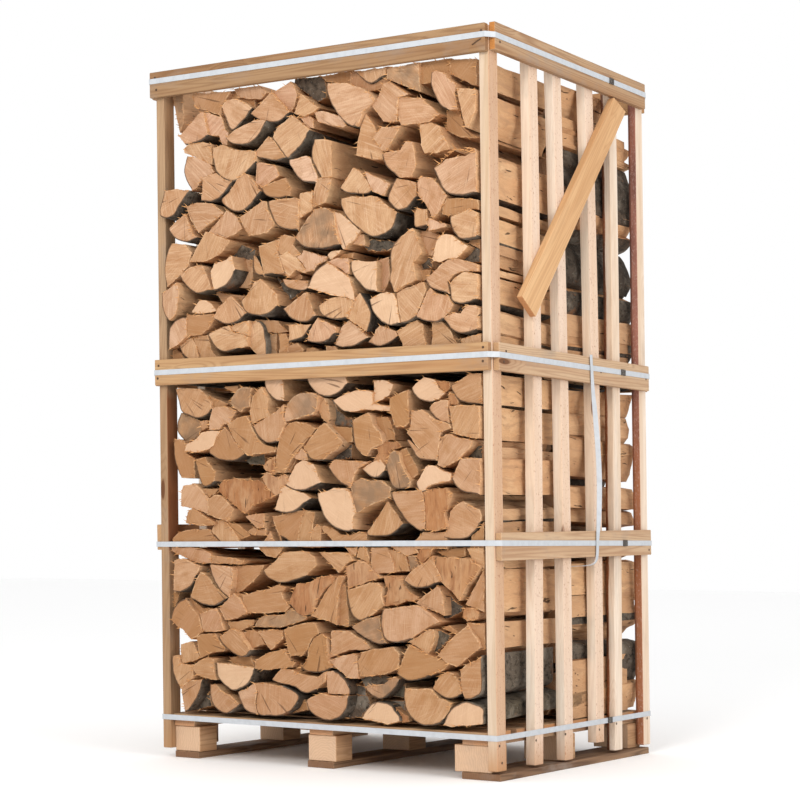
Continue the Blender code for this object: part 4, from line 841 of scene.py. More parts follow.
# %% Log ends of the lower band
LOWER_BAND = [
    (0, "plain", [(-568, 655), (-451, 650), (-408, 633), (-410, 603), (-458, 602), (-514, 620), (-566, 640)],
     []),
    (5, "plain", [(-408, 627), (-346, 621), (-280, 612), (-300, 603), (-410, 602)]),
    (0, "plain", [(-560, 515), (-557, 610), (-525, 617), (-469, 600), (-452, 594), (-469, 568)],
     [(-480, 540), (-499, 526), (-528, 515)]),
    (0, "plain", [(-492, 497), (-484, 515), (-469, 549), (-451, 576), (-439, 572), (-410, 549), (-402, 538),
     (-352, 499)], [(-391, 477), (-421, 474), (-451, 480)]),
    (45, "bark", [(-465, 585), (-440, 595), (-420, 590), (-405, 550), (-440, 570), (-455, 575)]),
    (-5, "plain", [(-417, 599), (-335, 595), (-328, 586), (-331, 530), (-342, 501)],
     [(-361, 511), (-383, 530), (-402, 557)]),
    (25, "orange", [(-331, 596), (-210, 600), (-225, 570), (-265, 540), (-290, 520), (-320, 515),
     (-331, 530)]),
    (-10, "plain", [(-214, 583), (-178, 606), (-133, 640), (-51, 643), (-20, 628), (-13, 601), (-51, 571)],
     [(-88, 557), (-151, 548), (-197, 563)]),
    (15, "plain", [(-235, 658), (-137, 656), (-165, 622), (-200, 628)]),
    (0, "plain", [(-6, 640), (91, 640), (108, 632), (118, 616), (91, 609), (76, 590), (61, 580), (39, 601)],
     []),
    (10, "plain", [(88, 655), (130, 655), (125, 632), (108, 634)]),
    (5, "orange", [(128, 627), (136, 655), (160, 655), (173, 624), (169, 608), (147, 620)]),
    (0, "orange", [(178, 655), (236, 655), (252, 615), (260, 590), (262, 583), (190, 577), (180, 605)]),
    (20, "plain", [(236, 655), (300, 636), (312, 588), (262, 585)]),
    (10, "plain", [(245, 660), (330, 660), (345, 640), (300, 632)]),
    (15, "mould", [(305, 632), (329, 632), (345, 605), (329, 594), (314, 590)]),
    (0, "torn", [(333, 631), (345, 658), (392, 658), (378, 631), (355, 609)]),
    (25, "brown", [(400, 645), (500, 658), (500, 632), (450, 625)]),
    (10, "plain", [(505, 655), (560, 655), (560, 596), (538, 609), (519, 624)]),
    (-5, "plain", [(292, 560), (311, 583), (337, 601), (355, 610), (389, 631), (400, 600), (419, 564),
     (404, 556)], [(378, 545), (348, 540), (322, 542)]),
    (0, "torn", [(389, 631), (445, 628), (508, 625), (540, 608), (545, 600), (506, 553), (478, 508),
     (468, 512), (452, 530), (419, 560), (404, 592)]),
    (15, "plain", [(498, 497), (522, 535), (552, 590), (560, 598), (560, 474), (531, 486)]),
    (0, "plain", [(329, 497), (352, 515), (404, 549), (415, 542), (424, 515), (427, 463), (389, 475)]),
    (40, "bark", [(415, 542), (441, 530), (471, 497), (490, 490), (486, 475), (449, 456), (427, 452)]),
    (10, "torn", [(493, 486), (516, 488), (542, 474), (534, 455), (501, 448), (486, 460)]),
    (-5, "plain", [(221, 478), (254, 482), (329, 491), (352, 486), (378, 471), (408, 444), (359, 422),
     (318, 394)], [(284, 385), (251, 382), (225, 392), (213, 426), (211, 455)]),
    (0, "mould", [(106, 421), (136, 437), (173, 452), (207, 460), (210, 419), (222, 392), (233, 378)],
     [(203, 376), (166, 385), (128, 404)]),
    (0, "plain", [(91, 530), (143, 545), (173, 553), (203, 553), (216, 540), (214, 515), (221, 486),
     (173, 456)], [(151, 445), (132, 441), (110, 456), (98, 486)]),
    (10, "torn", [(218, 570), (288, 572), (288, 548), (340, 515), (322, 500), (225, 487), (232, 530)]),
    (5, "torn", [(87, 594), (112, 610), (136, 620), (173, 601), (188, 583), (212, 566), (173, 558),
     (143, 547), (97, 533)]),
    (0, "plain", [(87, 572), (61, 572), (31, 542), (1, 501), (-21, 467), (-40, 450), (9, 441), (54, 426),
     (57, 471), (61, 512), (72, 549)]),
    (18, "orange", [(72, 549), (87, 550), (98, 440), (96, 424), (55, 426), (60, 500)]),
    (0, "torn", [(-114, 486), (-99, 527), (-88, 545), (-36, 553), (9, 571), (31, 579), (50, 568), (39, 549),
     (9, 523), (-13, 493), (-25, 471), (-51, 450)], [(-70, 450), (-92, 462)]),
    (0, "orange", [(-294, 508), (-272, 513), (-234, 520), (-190, 531), (-160, 541), (-128, 534), (-144, 519),
     (-137, 501), (-114, 478), (-133, 460), (-204, 455), (-264, 454), (-280, 456), (-290, 478)]),
    (0, "plain", [(-384, 466), (-346, 497), (-324, 515), (-305, 501), (-275, 456), (-313, 437), (-346, 431),
     (-361, 433), (-376, 456)]),
    (0, "plain", [(-455, 448), (-413, 463), (-391, 468), (-376, 441), (-365, 400), (-402, 392), (-440, 392),
     (-447, 404)]),
    (10, "orange", [(-514, 495), (-494, 496), (-440, 463), (-400, 466), (-452, 445), (-490, 470)]),
    (-5, "brown", [(-510, 495), (-488, 467), (-462, 441), (-451, 393), (-469, 378), (-494, 366), (-525, 396),
     (-548, 407), (-567, 426)], [(-565, 450), (-552, 471), (-540, 482)]),
    (20, "brown", [(-568, 515), (-533, 512), (-551, 471), (-572, 450)]),
    (0, "brown", [(-471, 376), (-451, 385), (-398, 389), (-387, 374), (-361, 344), (-366, 336), (-413, 329),
     (-458, 310), (-466, 336)]),
    (0, "plain", [(-533, 351), (-494, 361), (-477, 351), (-458, 313), (-488, 299), (-529, 292), (-535, 329)],
     []),
    (-5, "plain", [(-384, 377), (-361, 392), (-339, 407), (-318, 400), (-301, 396), (-290, 375), (-264, 342)],
     [(-279, 325), (-301, 321), (-324, 329), (-350, 344), (-369, 356)]),
    (15, "orange", [(-350, 422), (-331, 427), (-264, 433), (-249, 433), (-253, 418), (-301, 398),
     (-340, 406)]),
    (12, "orange", [(-301, 394), (-249, 404), (-227, 396), (-219, 374), (-212, 362), (-262, 344),
     (-290, 370)]),
    (5, "plain", [(-235, 400), (-200, 405), (-140, 405), (-142, 381), (-177, 350), (-190, 344), (-212, 370)],
     []),
    (0, "mould", [(-246, 413), (-234, 433), (-212, 448), (-137, 452), (-110, 474), (-85, 458), (-54, 448),
     (-66, 437), (-114, 422), (-148, 414), (-200, 412)]),
    (0, "brown", [(-138, 404), (-125, 415), (-69, 430), (-25, 430), (-10, 400), (-36, 385), (-51, 351),
     (-73, 333), (-114, 327), (-122, 344)]),
    (-5, "brown", [(-77, 297), (-56, 322), (-51, 355), (-32, 385), (1, 400), (20, 388), (20, 330), (38, 300)],
     [(9, 288), (-32, 284), (-62, 288)]),
    (5, "plain", [(34, 411), (95, 408), (158, 381), (172, 360), (136, 355), (98, 355), (24, 326), (31, 344)],
     []),
    (0, "plain", [(26, 320), (61, 333), (110, 344), (125, 336), (128, 300), (132, 270), (91, 273), (76, 284),
     (39, 307)]),
    (0, "orange", [(128, 321), (143, 348), (180, 359), (217, 363), (251, 367), (272, 345), (268, 305),
     (217, 285), (180, 281), (132, 277)]),
    (0, "brown", [(264, 290), (281, 321), (296, 355), (307, 377), (337, 366), (389, 344), (441, 325),
     (419, 307), (381, 292)], [(348, 278), (303, 273)]),
    (0, "plain", [(303, 385), (337, 400), (366, 419), (389, 422), (393, 400), (385, 374), (370, 350),
     (348, 362), (322, 377)]),
    (30, "bark", [(389, 422), (418, 418), (450, 405), (432, 385), (407, 362), (395, 350), (370, 350),
     (387, 380)]),
    (0, "orange", [(404, 348), (437, 385), (501, 441), (538, 389), (542, 374), (501, 344), (467, 318),
     (441, 325)]),
    (12, "brown", [(501, 443), (560, 445), (560, 372), (542, 374), (538, 389)]),
    (20, "orange", [(419, 426), (445, 436), (478, 412), (460, 410)]),
    (-5, "plain", [(490, 228), (482, 251), (475, 310), (497, 325), (553, 348)],
     [(560, 352), (561, 310), (560, 276), (545, 248), (522, 233), (505, 227)]),
    (0, "plain", [(383, 251), (393, 272), (404, 288), (434, 303), (452, 299), (475, 277), (482, 243)],
     [(463, 232), (437, 226), (411, 234)]),
    (-5, "plain", [(290, 250), (348, 251), (381, 251), (400, 228), (449, 214), (437, 195), (419, 168)],
     [(404, 155), (359, 146), (322, 157), (296, 187), (288, 221)]),
    (0, "pale", [(556, 160), (504, 154), (449, 147), (419, 150)],
     [(426, 169), (449, 202), (475, 217), (501, 221), (531, 213), (553, 202), (561, 185)]),
    (0, "pale", [(273, 154), (228, 143), (199, 146), (139, 155)],
     [(151, 176), (173, 198), (203, 208), (240, 202), (256, 183), (272, 166)]),
    (15, "torn", [(247, 203), (262, 190), (300, 170), (303, 154), (274, 154), (272, 168)]),
    (45, "bark", [(215, 212), (290, 215), (292, 190), (298, 175), (262, 190), (240, 203)]),
    (0, "mould", [(151, 249), (173, 252), (221, 258), (251, 281), (268, 274)],
     [(258, 251), (236, 231), (205, 216), (173, 228)]),
    (35, "bark", [(135, 277), (225, 283), (250, 278), (221, 256), (151, 248)]),
    (45, "bark", [(255, 262), (290, 272), (290, 222), (240, 226)]),
    (0, "plain", [(99, 223), (20, 222), (16, 251), (14, 288), (39, 292)], [(61, 284), (83, 266), (97, 240)]),
    (-5, "plain", [(-56, 191), (-51, 202), (-6, 224), (24, 218), (92, 219)],
     [(88, 190), (69, 161), (39, 146), (5, 144), (-28, 157), (-47, 172)]),
    (40, "bark", [(92, 220), (160, 222), (172, 200), (140, 158), (75, 150), (88, 190)]),
    (45, "bark", [(88, 262), (120, 258), (151, 249), (158, 222), (100, 222), (98, 240)]),
    (0, "plain", [(-313, 213), (-283, 224), (-249, 243), (-240, 215), (-248, 180), (-240, 148)],
     [(-283, 157), (-301, 183)]),
    (5, "plain", [(-240, 215), (-249, 243), (-212, 243), (-148, 239)], [(-110, 226), (-88, 210), (-99, 184),
     (-118, 165), (-155, 150), (-200, 146), (-235, 150), (-245, 180)]),
    (35, "brown", [(-88, 212), (-60, 200), (-52, 170), (-105, 160), (-98, 185)]),
    (0, "plain", [(-189, 254), (-151, 292), (-107, 288), (-77, 277), (-13, 270), (16, 288), (14, 258),
     (-17, 236)], [(-51, 221), (-77, 224), (-107, 239), (-163, 247)]),
    (-5, "pale", [(-399, 300), (-330, 296), (-249, 289)],
     [(-253, 268), (-272, 239), (-301, 224), (-331, 218), (-361, 232), (-387, 251), (-398, 277)]),
    (0, "plain", [(-490, 280), (-462, 303), (-432, 314), (-402, 312), (-405, 290), (-397, 247), (-440, 249),
     (-477, 262)]),
    (0, "plain", [(-565, 314), (-544, 318), (-533, 292), (-469, 289), (-490, 280), (-488, 247), (-510, 235),
     (-535, 215)], [(-555, 240), (-566, 275)]),
    (0, "plain", [(-518, 144), (-525, 176), (-533, 202), (-533, 224), (-503, 240), (-451, 245)],
     [(-456, 215), (-477, 180), (-503, 150)]),
    (0, "plain", [(-421, 232), (-398, 232), (-376, 214), (-346, 202), (-325, 192), (-305, 177)],
     [(-331, 157), (-357, 145), (-384, 150), (-410, 169), (-421, 198)]),
    (40, "brown", [(-455, 240), (-421, 235), (-425, 200), (-470, 180)]),
    (45, "bark", [(-440, 200), (-421, 200), (-415, 165), (-480, 150), (-490, 165)]),
    (0, "orange", [(-249, 307), (-227, 325), (-200, 334), (-137, 351), (-125, 329), (-112, 312), (-95, 310),
     (-110, 295), (-155, 290), (-200, 285), (-246, 286)]),
    (25, "brown", [(-107, 303), (-77, 310), (-77, 285), (-107, 290)]),
    (25, "brown", [(-345, 318), (-262, 325), (-250, 292), (-335, 300)]),
]
FRONT_BANDS = {"top": TOP_BAND, "upper": UPPER_BAND, "middle": MIDDLE_BAND, "lower": LOWER_BAND}
print(sum(len(logs) for logs in FRONT_BANDS.values()), "log ends written down")

# %% [markdown]
# ## Firewood: from a sawn end to a log
#
# A log's cross-section hardly changes along its length, so a log is its end outline drawn back in
# steps. Its split sides are straight in the section and get shallow flutes that run along the log, as
# torn fibres do. Its bark side is a smooth arc with soft bumps. The steps lie close together near the
# open end, where the camera sees them, and far apart in the dark.

# %% Outline of a log end
FRONT, BACK = 1, -1                      # the tiers; the way in which a log runs from its open end
OUTLINE_STEP = {FRONT: 7.5, BACK: 11.0}  # millimetres between points round a log end


def outline_of(corners, bark, spacing):
    """Points round a log end, anticlockwise as seen from the front, and whether each edge is bark."""
    points, is_bark = [], []
    known = [np.array(p, float) for p in corners]
    closing = [] if bark else [known[0]]
    for a, b in zip(known, known[1:] + closing):
        count = max(1, round(float(np.linalg.norm(b - a)) / spacing))
        points += [a + (b - a) * k / count for k in range(count)]
        is_bark += [False] * count
    if bark:
        arc = smooth_route([(*p, 0.0) for p in (known[-1], *bark, known[0])], 8)
        arc = np.array([p[:2] for p in arc])
        run = np.concatenate(([0.0], np.cumsum(np.linalg.norm(arc[1:] - arc[:-1], axis=1))))
        count = max(3, round(run[-1] / spacing))
        wanted = np.arange(count) * run[-1] / count
        points += list(np.stack([np.interp(wanted, run, arc[:, part]) for part in (0, 1)], axis=1))
        is_bark += [True] * count
    points = np.array(points)
    ahead = np.roll(points, -1, axis=0)
    area = float(np.sum(points[:, 0] * ahead[:, 1] - ahead[:, 0] * points[:, 1]))
    if area < 0:
        points = points[::-1]
        is_bark = is_bark[-2::-1] + is_bark[-1:]
    return points, is_bark


print("an outline point every", OUTLINE_STEP[FRONT], "mm in front and", OUTLINE_STEP[BACK], "mm at the back")

# %% The measures of a log
TIER_END = 7.0            # the tiers stop this far from the middle
LOG_LENGTH = 482.0
LENGTH_SPREAD = 6.0
LAST_STEP = 30.0          # no step lies closer than this to the inner end
OPEN_END = 495.0          # how far the ordinary log ends stand from the middle
SHEET = 480.0             # the sheet that the log ends were written down on
LEFT_LIMIT = -566.0
RIGHT_LIMIT = 562.0
SIDE_SLACK = (1.5, 1.0)   # how far bumps may pass the limits
BESIDE_SLATS = 505.0      # logs that reach further than this lie behind the right slats
SKEW = 0.05               # how far out of square an end is sawn
DRIFT = 15.0              # how far a log strays sideways on its way to the middle
DRIFT_BESIDE_SLATS = (-38.0, -6.0)
BARK_BUMPS = ((1.3, 22, 26, 0), (2.2, 60, 160, 9))       # height, spacing round and along the log, seed
SPLIT_FLUTES = ((1.5, 11, 150, 0), (3.0, 34, 70, 5))
FRAY = (1.5, 4.7, 0.9)    # the saw frays a rim: height, spacing, and how far it is drawn in
CHIP = (2.0, 14)          # depth and spacing of chips in the first stretch behind the end
TORN_ROUGHER = 2.2
RIM_WIDTH = 6.5           # breadth of the bark line and the torn fringe on a log end
RIM_SHARE = 0.25          # on a thin log it takes no more than this share of the way to the middle
RIM_STEP = 0.4            # the wood within the rim stands this much further out
PITH_INSET = 0.12         # the pith lies this share of the way from the sharpest corner to the middle
STEPS_BACK = {FRONT: (0.0, 1.6, 7.0, 18.0, 34.0, 56.0, 86.0, 126.0, 180.0, 250.0, 330.0, 410.0),
              BACK: (0.0, 1.6, 12.0, 40.0, 90.0, 170.0, 280.0, 400.0)}
LOOKS = {"plain": (0, 0, 0), "brown": (1, 0, 0), "mould": (0, 1, 0), "pale": (0, 0, 1),
         "orange": (0.55, 0, 0), "torn": (0.4, 0, 0), "bark": (0.9, 0.2, 0)}      # brown, mould, pale
SAWN, SPLIT, BARK = 0, 1, 2
NO_RIM, BARK_RIM, TORN_RIM = (0.0, 0.0, 0.0), (1.0, 0.0, 0.0), (0.0, 1.0, 0.0)


def bumps(x, y, z):
    """Soft noise between about -1 and 1."""
    return noise.noise(Vector((x, y, z)))


def lift_of(relief, along, back, seed):
    """How far bumps or flutes lift the surface, a way round the log and a way back from its end."""
    return sum(high * bumps(along / round_it, back / along_it, seed + more)
               for high, round_it, along_it, more in relief)


def held(x, slack=(0.0, 0.0)):
    """A place across the crate, kept between its sides."""
    return min(max(x, LEFT_LIMIT - slack[0]), RIGHT_LIMIT + slack[1])


def seen_at(x, z, y):
    """Where a point of the written sheet lies on a log end at depth y, on the camera's line of sight."""
    eye = Vector(CAMERA_PLACE) / MM
    on_sheet = Vector((x + LEAN * z, -SHEET, z))
    reach = (y - eye.y) / (-SHEET - eye.y)
    there = eye + (on_sheet - eye) * reach
    return held(there.x - LEAN * there.z), there.z


def pith_of(points, bark):
    """The pith of the trunk is near the corner that lies furthest from the bark."""
    pith = points[0]
    if bark:
        pith = points[int(np.argmax(np.linalg.norm(points - np.array(bark, float).mean(axis=0), axis=1)))]
    return pith + (points.mean(axis=0) - pith) * PITH_INSET


print(len(LOOKS), "looks of a log end")

# %% One split log
def add_log(stack, corners, bark, kind, end_y, side, rng):
    """Adds one log to the stack's lists; its open end is at end_y and it runs towards the middle."""
    points, is_bark = outline_of(corners, bark, OUTLINE_STEP[side])
    count = len(points)
    middle = points.mean(axis=0)
    ahead = np.roll(points, -1, axis=0) - np.roll(points, 1, axis=0)
    outward = np.stack((ahead[:, 1], -ahead[:, 0]), axis=1)
    outward /= np.maximum(np.linalg.norm(outward, axis=1, keepdims=True), 1e-6)
    length = min(LOG_LENGTH + rng.uniform(-LENGTH_SPREAD, LENGTH_SPREAD), abs(end_y) - TIER_END)
    steps = [s for s in STEPS_BACK[side] if s < length - LAST_STEP] + [length]
    skew = rng.uniform(-SKEW, SKEW, 2)
    drift = rng.uniform(-DRIFT, DRIFT, 2)
    if side == FRONT and points[:, 0].max() > BESIDE_SLATS:
        drift[0] = rng.uniform(*DRIFT_BESIDE_SLATS)
    seed = float(rng.uniform(0, 500))
    torn = TORN_ROUGHER if kind == "torn" else 1.0
    pith = pith_of(points, bark)
    run = np.concatenate(([0.0], np.cumsum(np.linalg.norm(points[1:] - points[:-1], axis=1))))
    first = len(stack["places"])

    def put(x, y, z, rim):
        stack["places"].append(leaning(x, y, z))
        stack["pith"].append(((x - pith[0]) * MM, (z - pith[1]) * MM, seed * 0.1))
        stack["rim"].append(rim)

    def face(corners, finish):
        stack["faces"].append(corners if side == FRONT else corners[::-1])
        stack["kinds"].append(finish)

    open_ring = []
    for j, back in enumerate(steps):
        for i, along in enumerate(run):
            if is_bark[i] and is_bark[i - 1]:
                lift = lift_of(BARK_BUMPS, along, back, seed)
            else:
                lift = torn * lift_of(SPLIT_FLUTES, along, back, seed)
            if j == 0:
                lift += torn * FRAY[0] * bumps(along / FRAY[1], 7.0, seed) - FRAY[2]
            x, z = points[i] + outward[i] * lift + drift * back / LOG_LENGTH
            x = held(x, SIDE_SLACK)
            chip = torn * CHIP[0] * max(0.0, bumps(along / CHIP[1], 3.0, seed)) if j < 2 else 0.0
            slope = skew[0] * (x - middle[0]) + skew[1] * (z - middle[1]) if j < len(steps) - 1 else 0.0
            y = end_y + side * (back + slope + chip)
            if j == 0:
                open_ring.append((x, y, z))
            put(x, y, z, NO_RIM if j else BARK_RIM if is_bark[i] else TORN_RIM)
    for j in range(len(steps) - 1):
        near, far = first + j * count, first + (j + 1) * count
        for i in range(count):
            k = (i + 1) % count
            face((near + i, near + k, far + k, far + i), BARK if is_bark[i] else SPLIT)

    end_kind = BARK if kind == "bark" else SPLIT if kind == "torn" else SAWN
    inner = len(stack["places"])
    for x, y, z in open_ring:
        share = min(RIM_WIDTH / max(math.hypot(x - middle[0], z - middle[1]), 1.0), RIM_SHARE)
        put(x + (middle[0] - x) * share, y - side * RIM_STEP, z + (middle[1] - z) * share, NO_RIM)
    for i in range(count):
        k = (i + 1) % count
        face((first + k, first + i, inner + i, inner + k), end_kind)
        if not is_bark[i]:
            stack["torn_edges"].append((stack["places"][first + i], stack["places"][first + k]))
    face(tuple(range(inner, inner + count))[::-1], end_kind)
    face(tuple(range(inner - count, inner)), SAWN)
    stack["tint"] += [float(rng.uniform(0, 1))] * (count * (len(steps) + 1))
    stack["look"] += [LOOKS[kind]] * (count * (len(steps) + 1))


def stack_piece(name, stack, stands_for):
    """One mesh of many logs, with the numbers that the materials read."""
    mesh = bpy.data.meshes.new(name)
    mesh.from_pydata(stack["places"], [], stack["faces"])
    for finish in (end_grain, split_face, bark_skin):
        mesh.materials.append(finish)
    mesh.polygons.foreach_set("material_index", stack["kinds"])
    for attribute, key in (("pith_place", "pith"), ("log_look", "look"), ("end_rim", "rim")):
        mesh.attributes.new(attribute, "FLOAT_VECTOR", "POINT").data.foreach_set(
            "vector", np.array(stack[key], np.float32).ravel())
    mesh.attributes.new("log_tint", "FLOAT", "POINT").data.foreach_set("value", stack["tint"])
    made = bpy.data.objects.new(name, mesh)
    bpy.context.scene.collection.objects.link(made)
    mesh.validate()
    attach(made, "root")
    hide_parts(stands_for)
    print(name, "has", sum(len(p.vertices) - 2 for p in mesh.polygons), "triangles")


def empty_stack():
    """The lists that one stack collects from its logs."""
    return {key: [] for key in ("places", "faces", "kinds", "pith", "tint", "look", "rim", "torn_edges")}


# %% [markdown]
# ## Firewood: the front tier
#
# Each written log end is moved from the sheet to its own depth along the line of sight, so that it
# covers the same part of the picture however far it sticks out. Behind the middle rail nothing can be
# seen, so a row of plain logs fills the stack there.

# %% Front tier
HIDDEN_ROW = (1162.0, 1226.0)       # behind the middle rail
HIDDEN_WIDTH = 92.0
LEAST_WIDTH = 16.0                  # no log of the row is thinner than this
ROW_REACH = 556.0                   # the hidden row ends this far from the crate's middle
SHADED_LOGS = [(75, "brown", [(-565, 142), (-565, 318), (-528, 322), (-520, 142)])]
RAIL_ZONES = ((1140.0, 1250.0), (2035.0, 2140.0), (640.0, 690.0))
HELD_BACK = 488.5                   # ends behind a rail stand no further out than the posts
BEHIND_RAIL = {FRONT: HELD_BACK - 6.0, BACK: HELD_BACK - 2.0}
END_SPREAD = 4.0                    # how unevenly the ordinary ends stand
PULLED_OUT = -15                    # ends written further out than this keep their exact place


def hidden_row(rng):
    """Plain split logs side by side in the row behind the middle rail."""
    low, high = HIDDEN_ROW
    x = -ROW_REACH
    row = []
    while x < ROW_REACH - LEAST_WIDTH:
        wide = min(HIDDEN_WIDTH * rng.uniform(0.7, 1.3), ROW_REACH - x)
        corners = [(x + 3, low), (x + 6, high), (x + wide - 6, high - 4), (x + wide - 3, low + 5)]
        row.append((14, "plain", corners, [(x + wide * 0.5, low - 4)]))
        x += wide
    return row


def behind_rail(end, outline, side):
    """How far a log end stands from the middle, once the rail that crosses it has its room."""
    heights = [z for _, z in outline]
    crossed = any(min(heights) < top and max(heights) > low for low, top in RAIL_ZONES)
    return min(end, BEHIND_RAIL[side]) if crossed else end


rng = np.random.default_rng(11)
front_logs = {name: list(logs) for name, logs in FRONT_BANDS.items()}
front_logs["middle"] += hidden_row(rng)
front_logs["lower"] += SHADED_LOGS
rim_places, rim_lines = [], []
for name, logs in front_logs.items():
    stack = empty_stack()
    for back, kind, corners, *arc in logs:
        bark = arc[0] if arc else []
        end = OPEN_END - back + (rng.uniform(-END_SPREAD, END_SPREAD) if back > PULLED_OUT else 0.0)
        end = behind_rail(end, corners + bark, FRONT)
        corners, bark = ([seen_at(x, z, -end) for x, z in line] for line in (corners, bark))
        add_log(stack, corners, bark, kind, -end, FRONT, rng)
    stack_piece(f"firewood_front_{name}", stack, "firewood_front")
    for a, b in stack["torn_edges"]:
        rim_lines.append((len(rim_places), len(rim_places) + 1))
        rim_places += [a, b]

# %% [markdown]
# ## Firewood: the back tier
#
# A second tier stands behind the first, with its sawn ends to the back. Nobody sees it whole, so it is
# stacked like the first one, turned half round.

# %% Back tier
BY_THE_SLATS = 490.0      # logs that reach further out than this show between the right slats
BESIDE_POST = 558.0       # they lie close behind the back post and the last slat
SPLIT_ZONE = (840.0, 1150.0)      # here they turn split faces to the slats
BARK_ZONE = (150.0, 480.0)        # and here they turn their bark to them
FURTHEST_OUT = -12
BACK_EXTRA = [
    (38, "pale", [(-562, 1866), (-562, 1955), (-480, 1962), (-470, 1866)]),
    (2, "mould", [(-470, 1700), (-480, 1845)], [(-530, 1852), (-563, 1800), (-556, 1720)]),
]


def bark_outwards(points):
    """The outline of a log with all its bark on the side where x is low, as corners and a bark arc."""
    middle = sum(x for x, _ in points) / len(points)
    outer = [x < middle for x, _ in points]
    first = next(i for i in range(len(points)) if outer[i] and not outer[i - 1])
    turned = points[first:] + points[:first]
    return [p for p in turned if p[0] >= middle], [p for p in turned if p[0] < middle]


rng = np.random.default_rng(23)
front_logs["top"] += BACK_EXTRA
for name, logs in front_logs.items():
    stack = empty_stack()
    for back, kind, corners, *arc in logs:
        bark = arc[0] if arc else []
        end = OPEN_END - max(back, FURTHEST_OUT) + rng.uniform(-END_SPREAD, END_SPREAD)
        reach = max(-x for x, _ in corners + bark)
        outward = 0.0
        if reach > BY_THE_SLATS:
            outward = BESIDE_POST + rng.uniform(-10, 2) - reach
            if SPLIT_ZONE[0] < corners[0][1] < SPLIT_ZONE[1]:
                corners, bark = corners + bark, []
            elif BARK_ZONE[0] < corners[0][1] < BARK_ZONE[1]:
                corners, bark = bark_outwards(corners + bark)
        end = behind_rail(end, corners + bark, BACK)
        corners, bark = ([(held(outward - x), z) for x, z in line] for line in (corners, bark))
        add_log(stack, corners, bark, kind, end, BACK, rng)
    stack_piece(f"firewood_back_{name}", stack, "firewood_back")

# %% [markdown]
# ## Boards: sawn softwood
#
# The crate is rough sawn pine and spruce. Sawing a board out of a round trunk cuts its growth rings
# lengthwise, and they show as long nested bows. Here the rings are the contour lines of a noise that is
# stretched along the grain. Fine fibres, a few knots, blue-grey handling dirt and short saw marks lie on
# top. Where the surface faces along the grain it is a cut end, which is darker and shows its rings as
# arcs. One function makes every kind; the kinds differ in grain direction and tone.

# %% Sawn boards
KNOT_DARK = "5A3218"
HANDLING_GREY = "8D7F74"
RESIN_SPECK = "8C5238"
WET_FOOT = "A87547"
BOW_WIDTH = 0.034         # metres across which one nest of ring bows changes
BOW_LENGTH = 0.85
KNOT_CELL = (0.075, 0.075, 0.29)


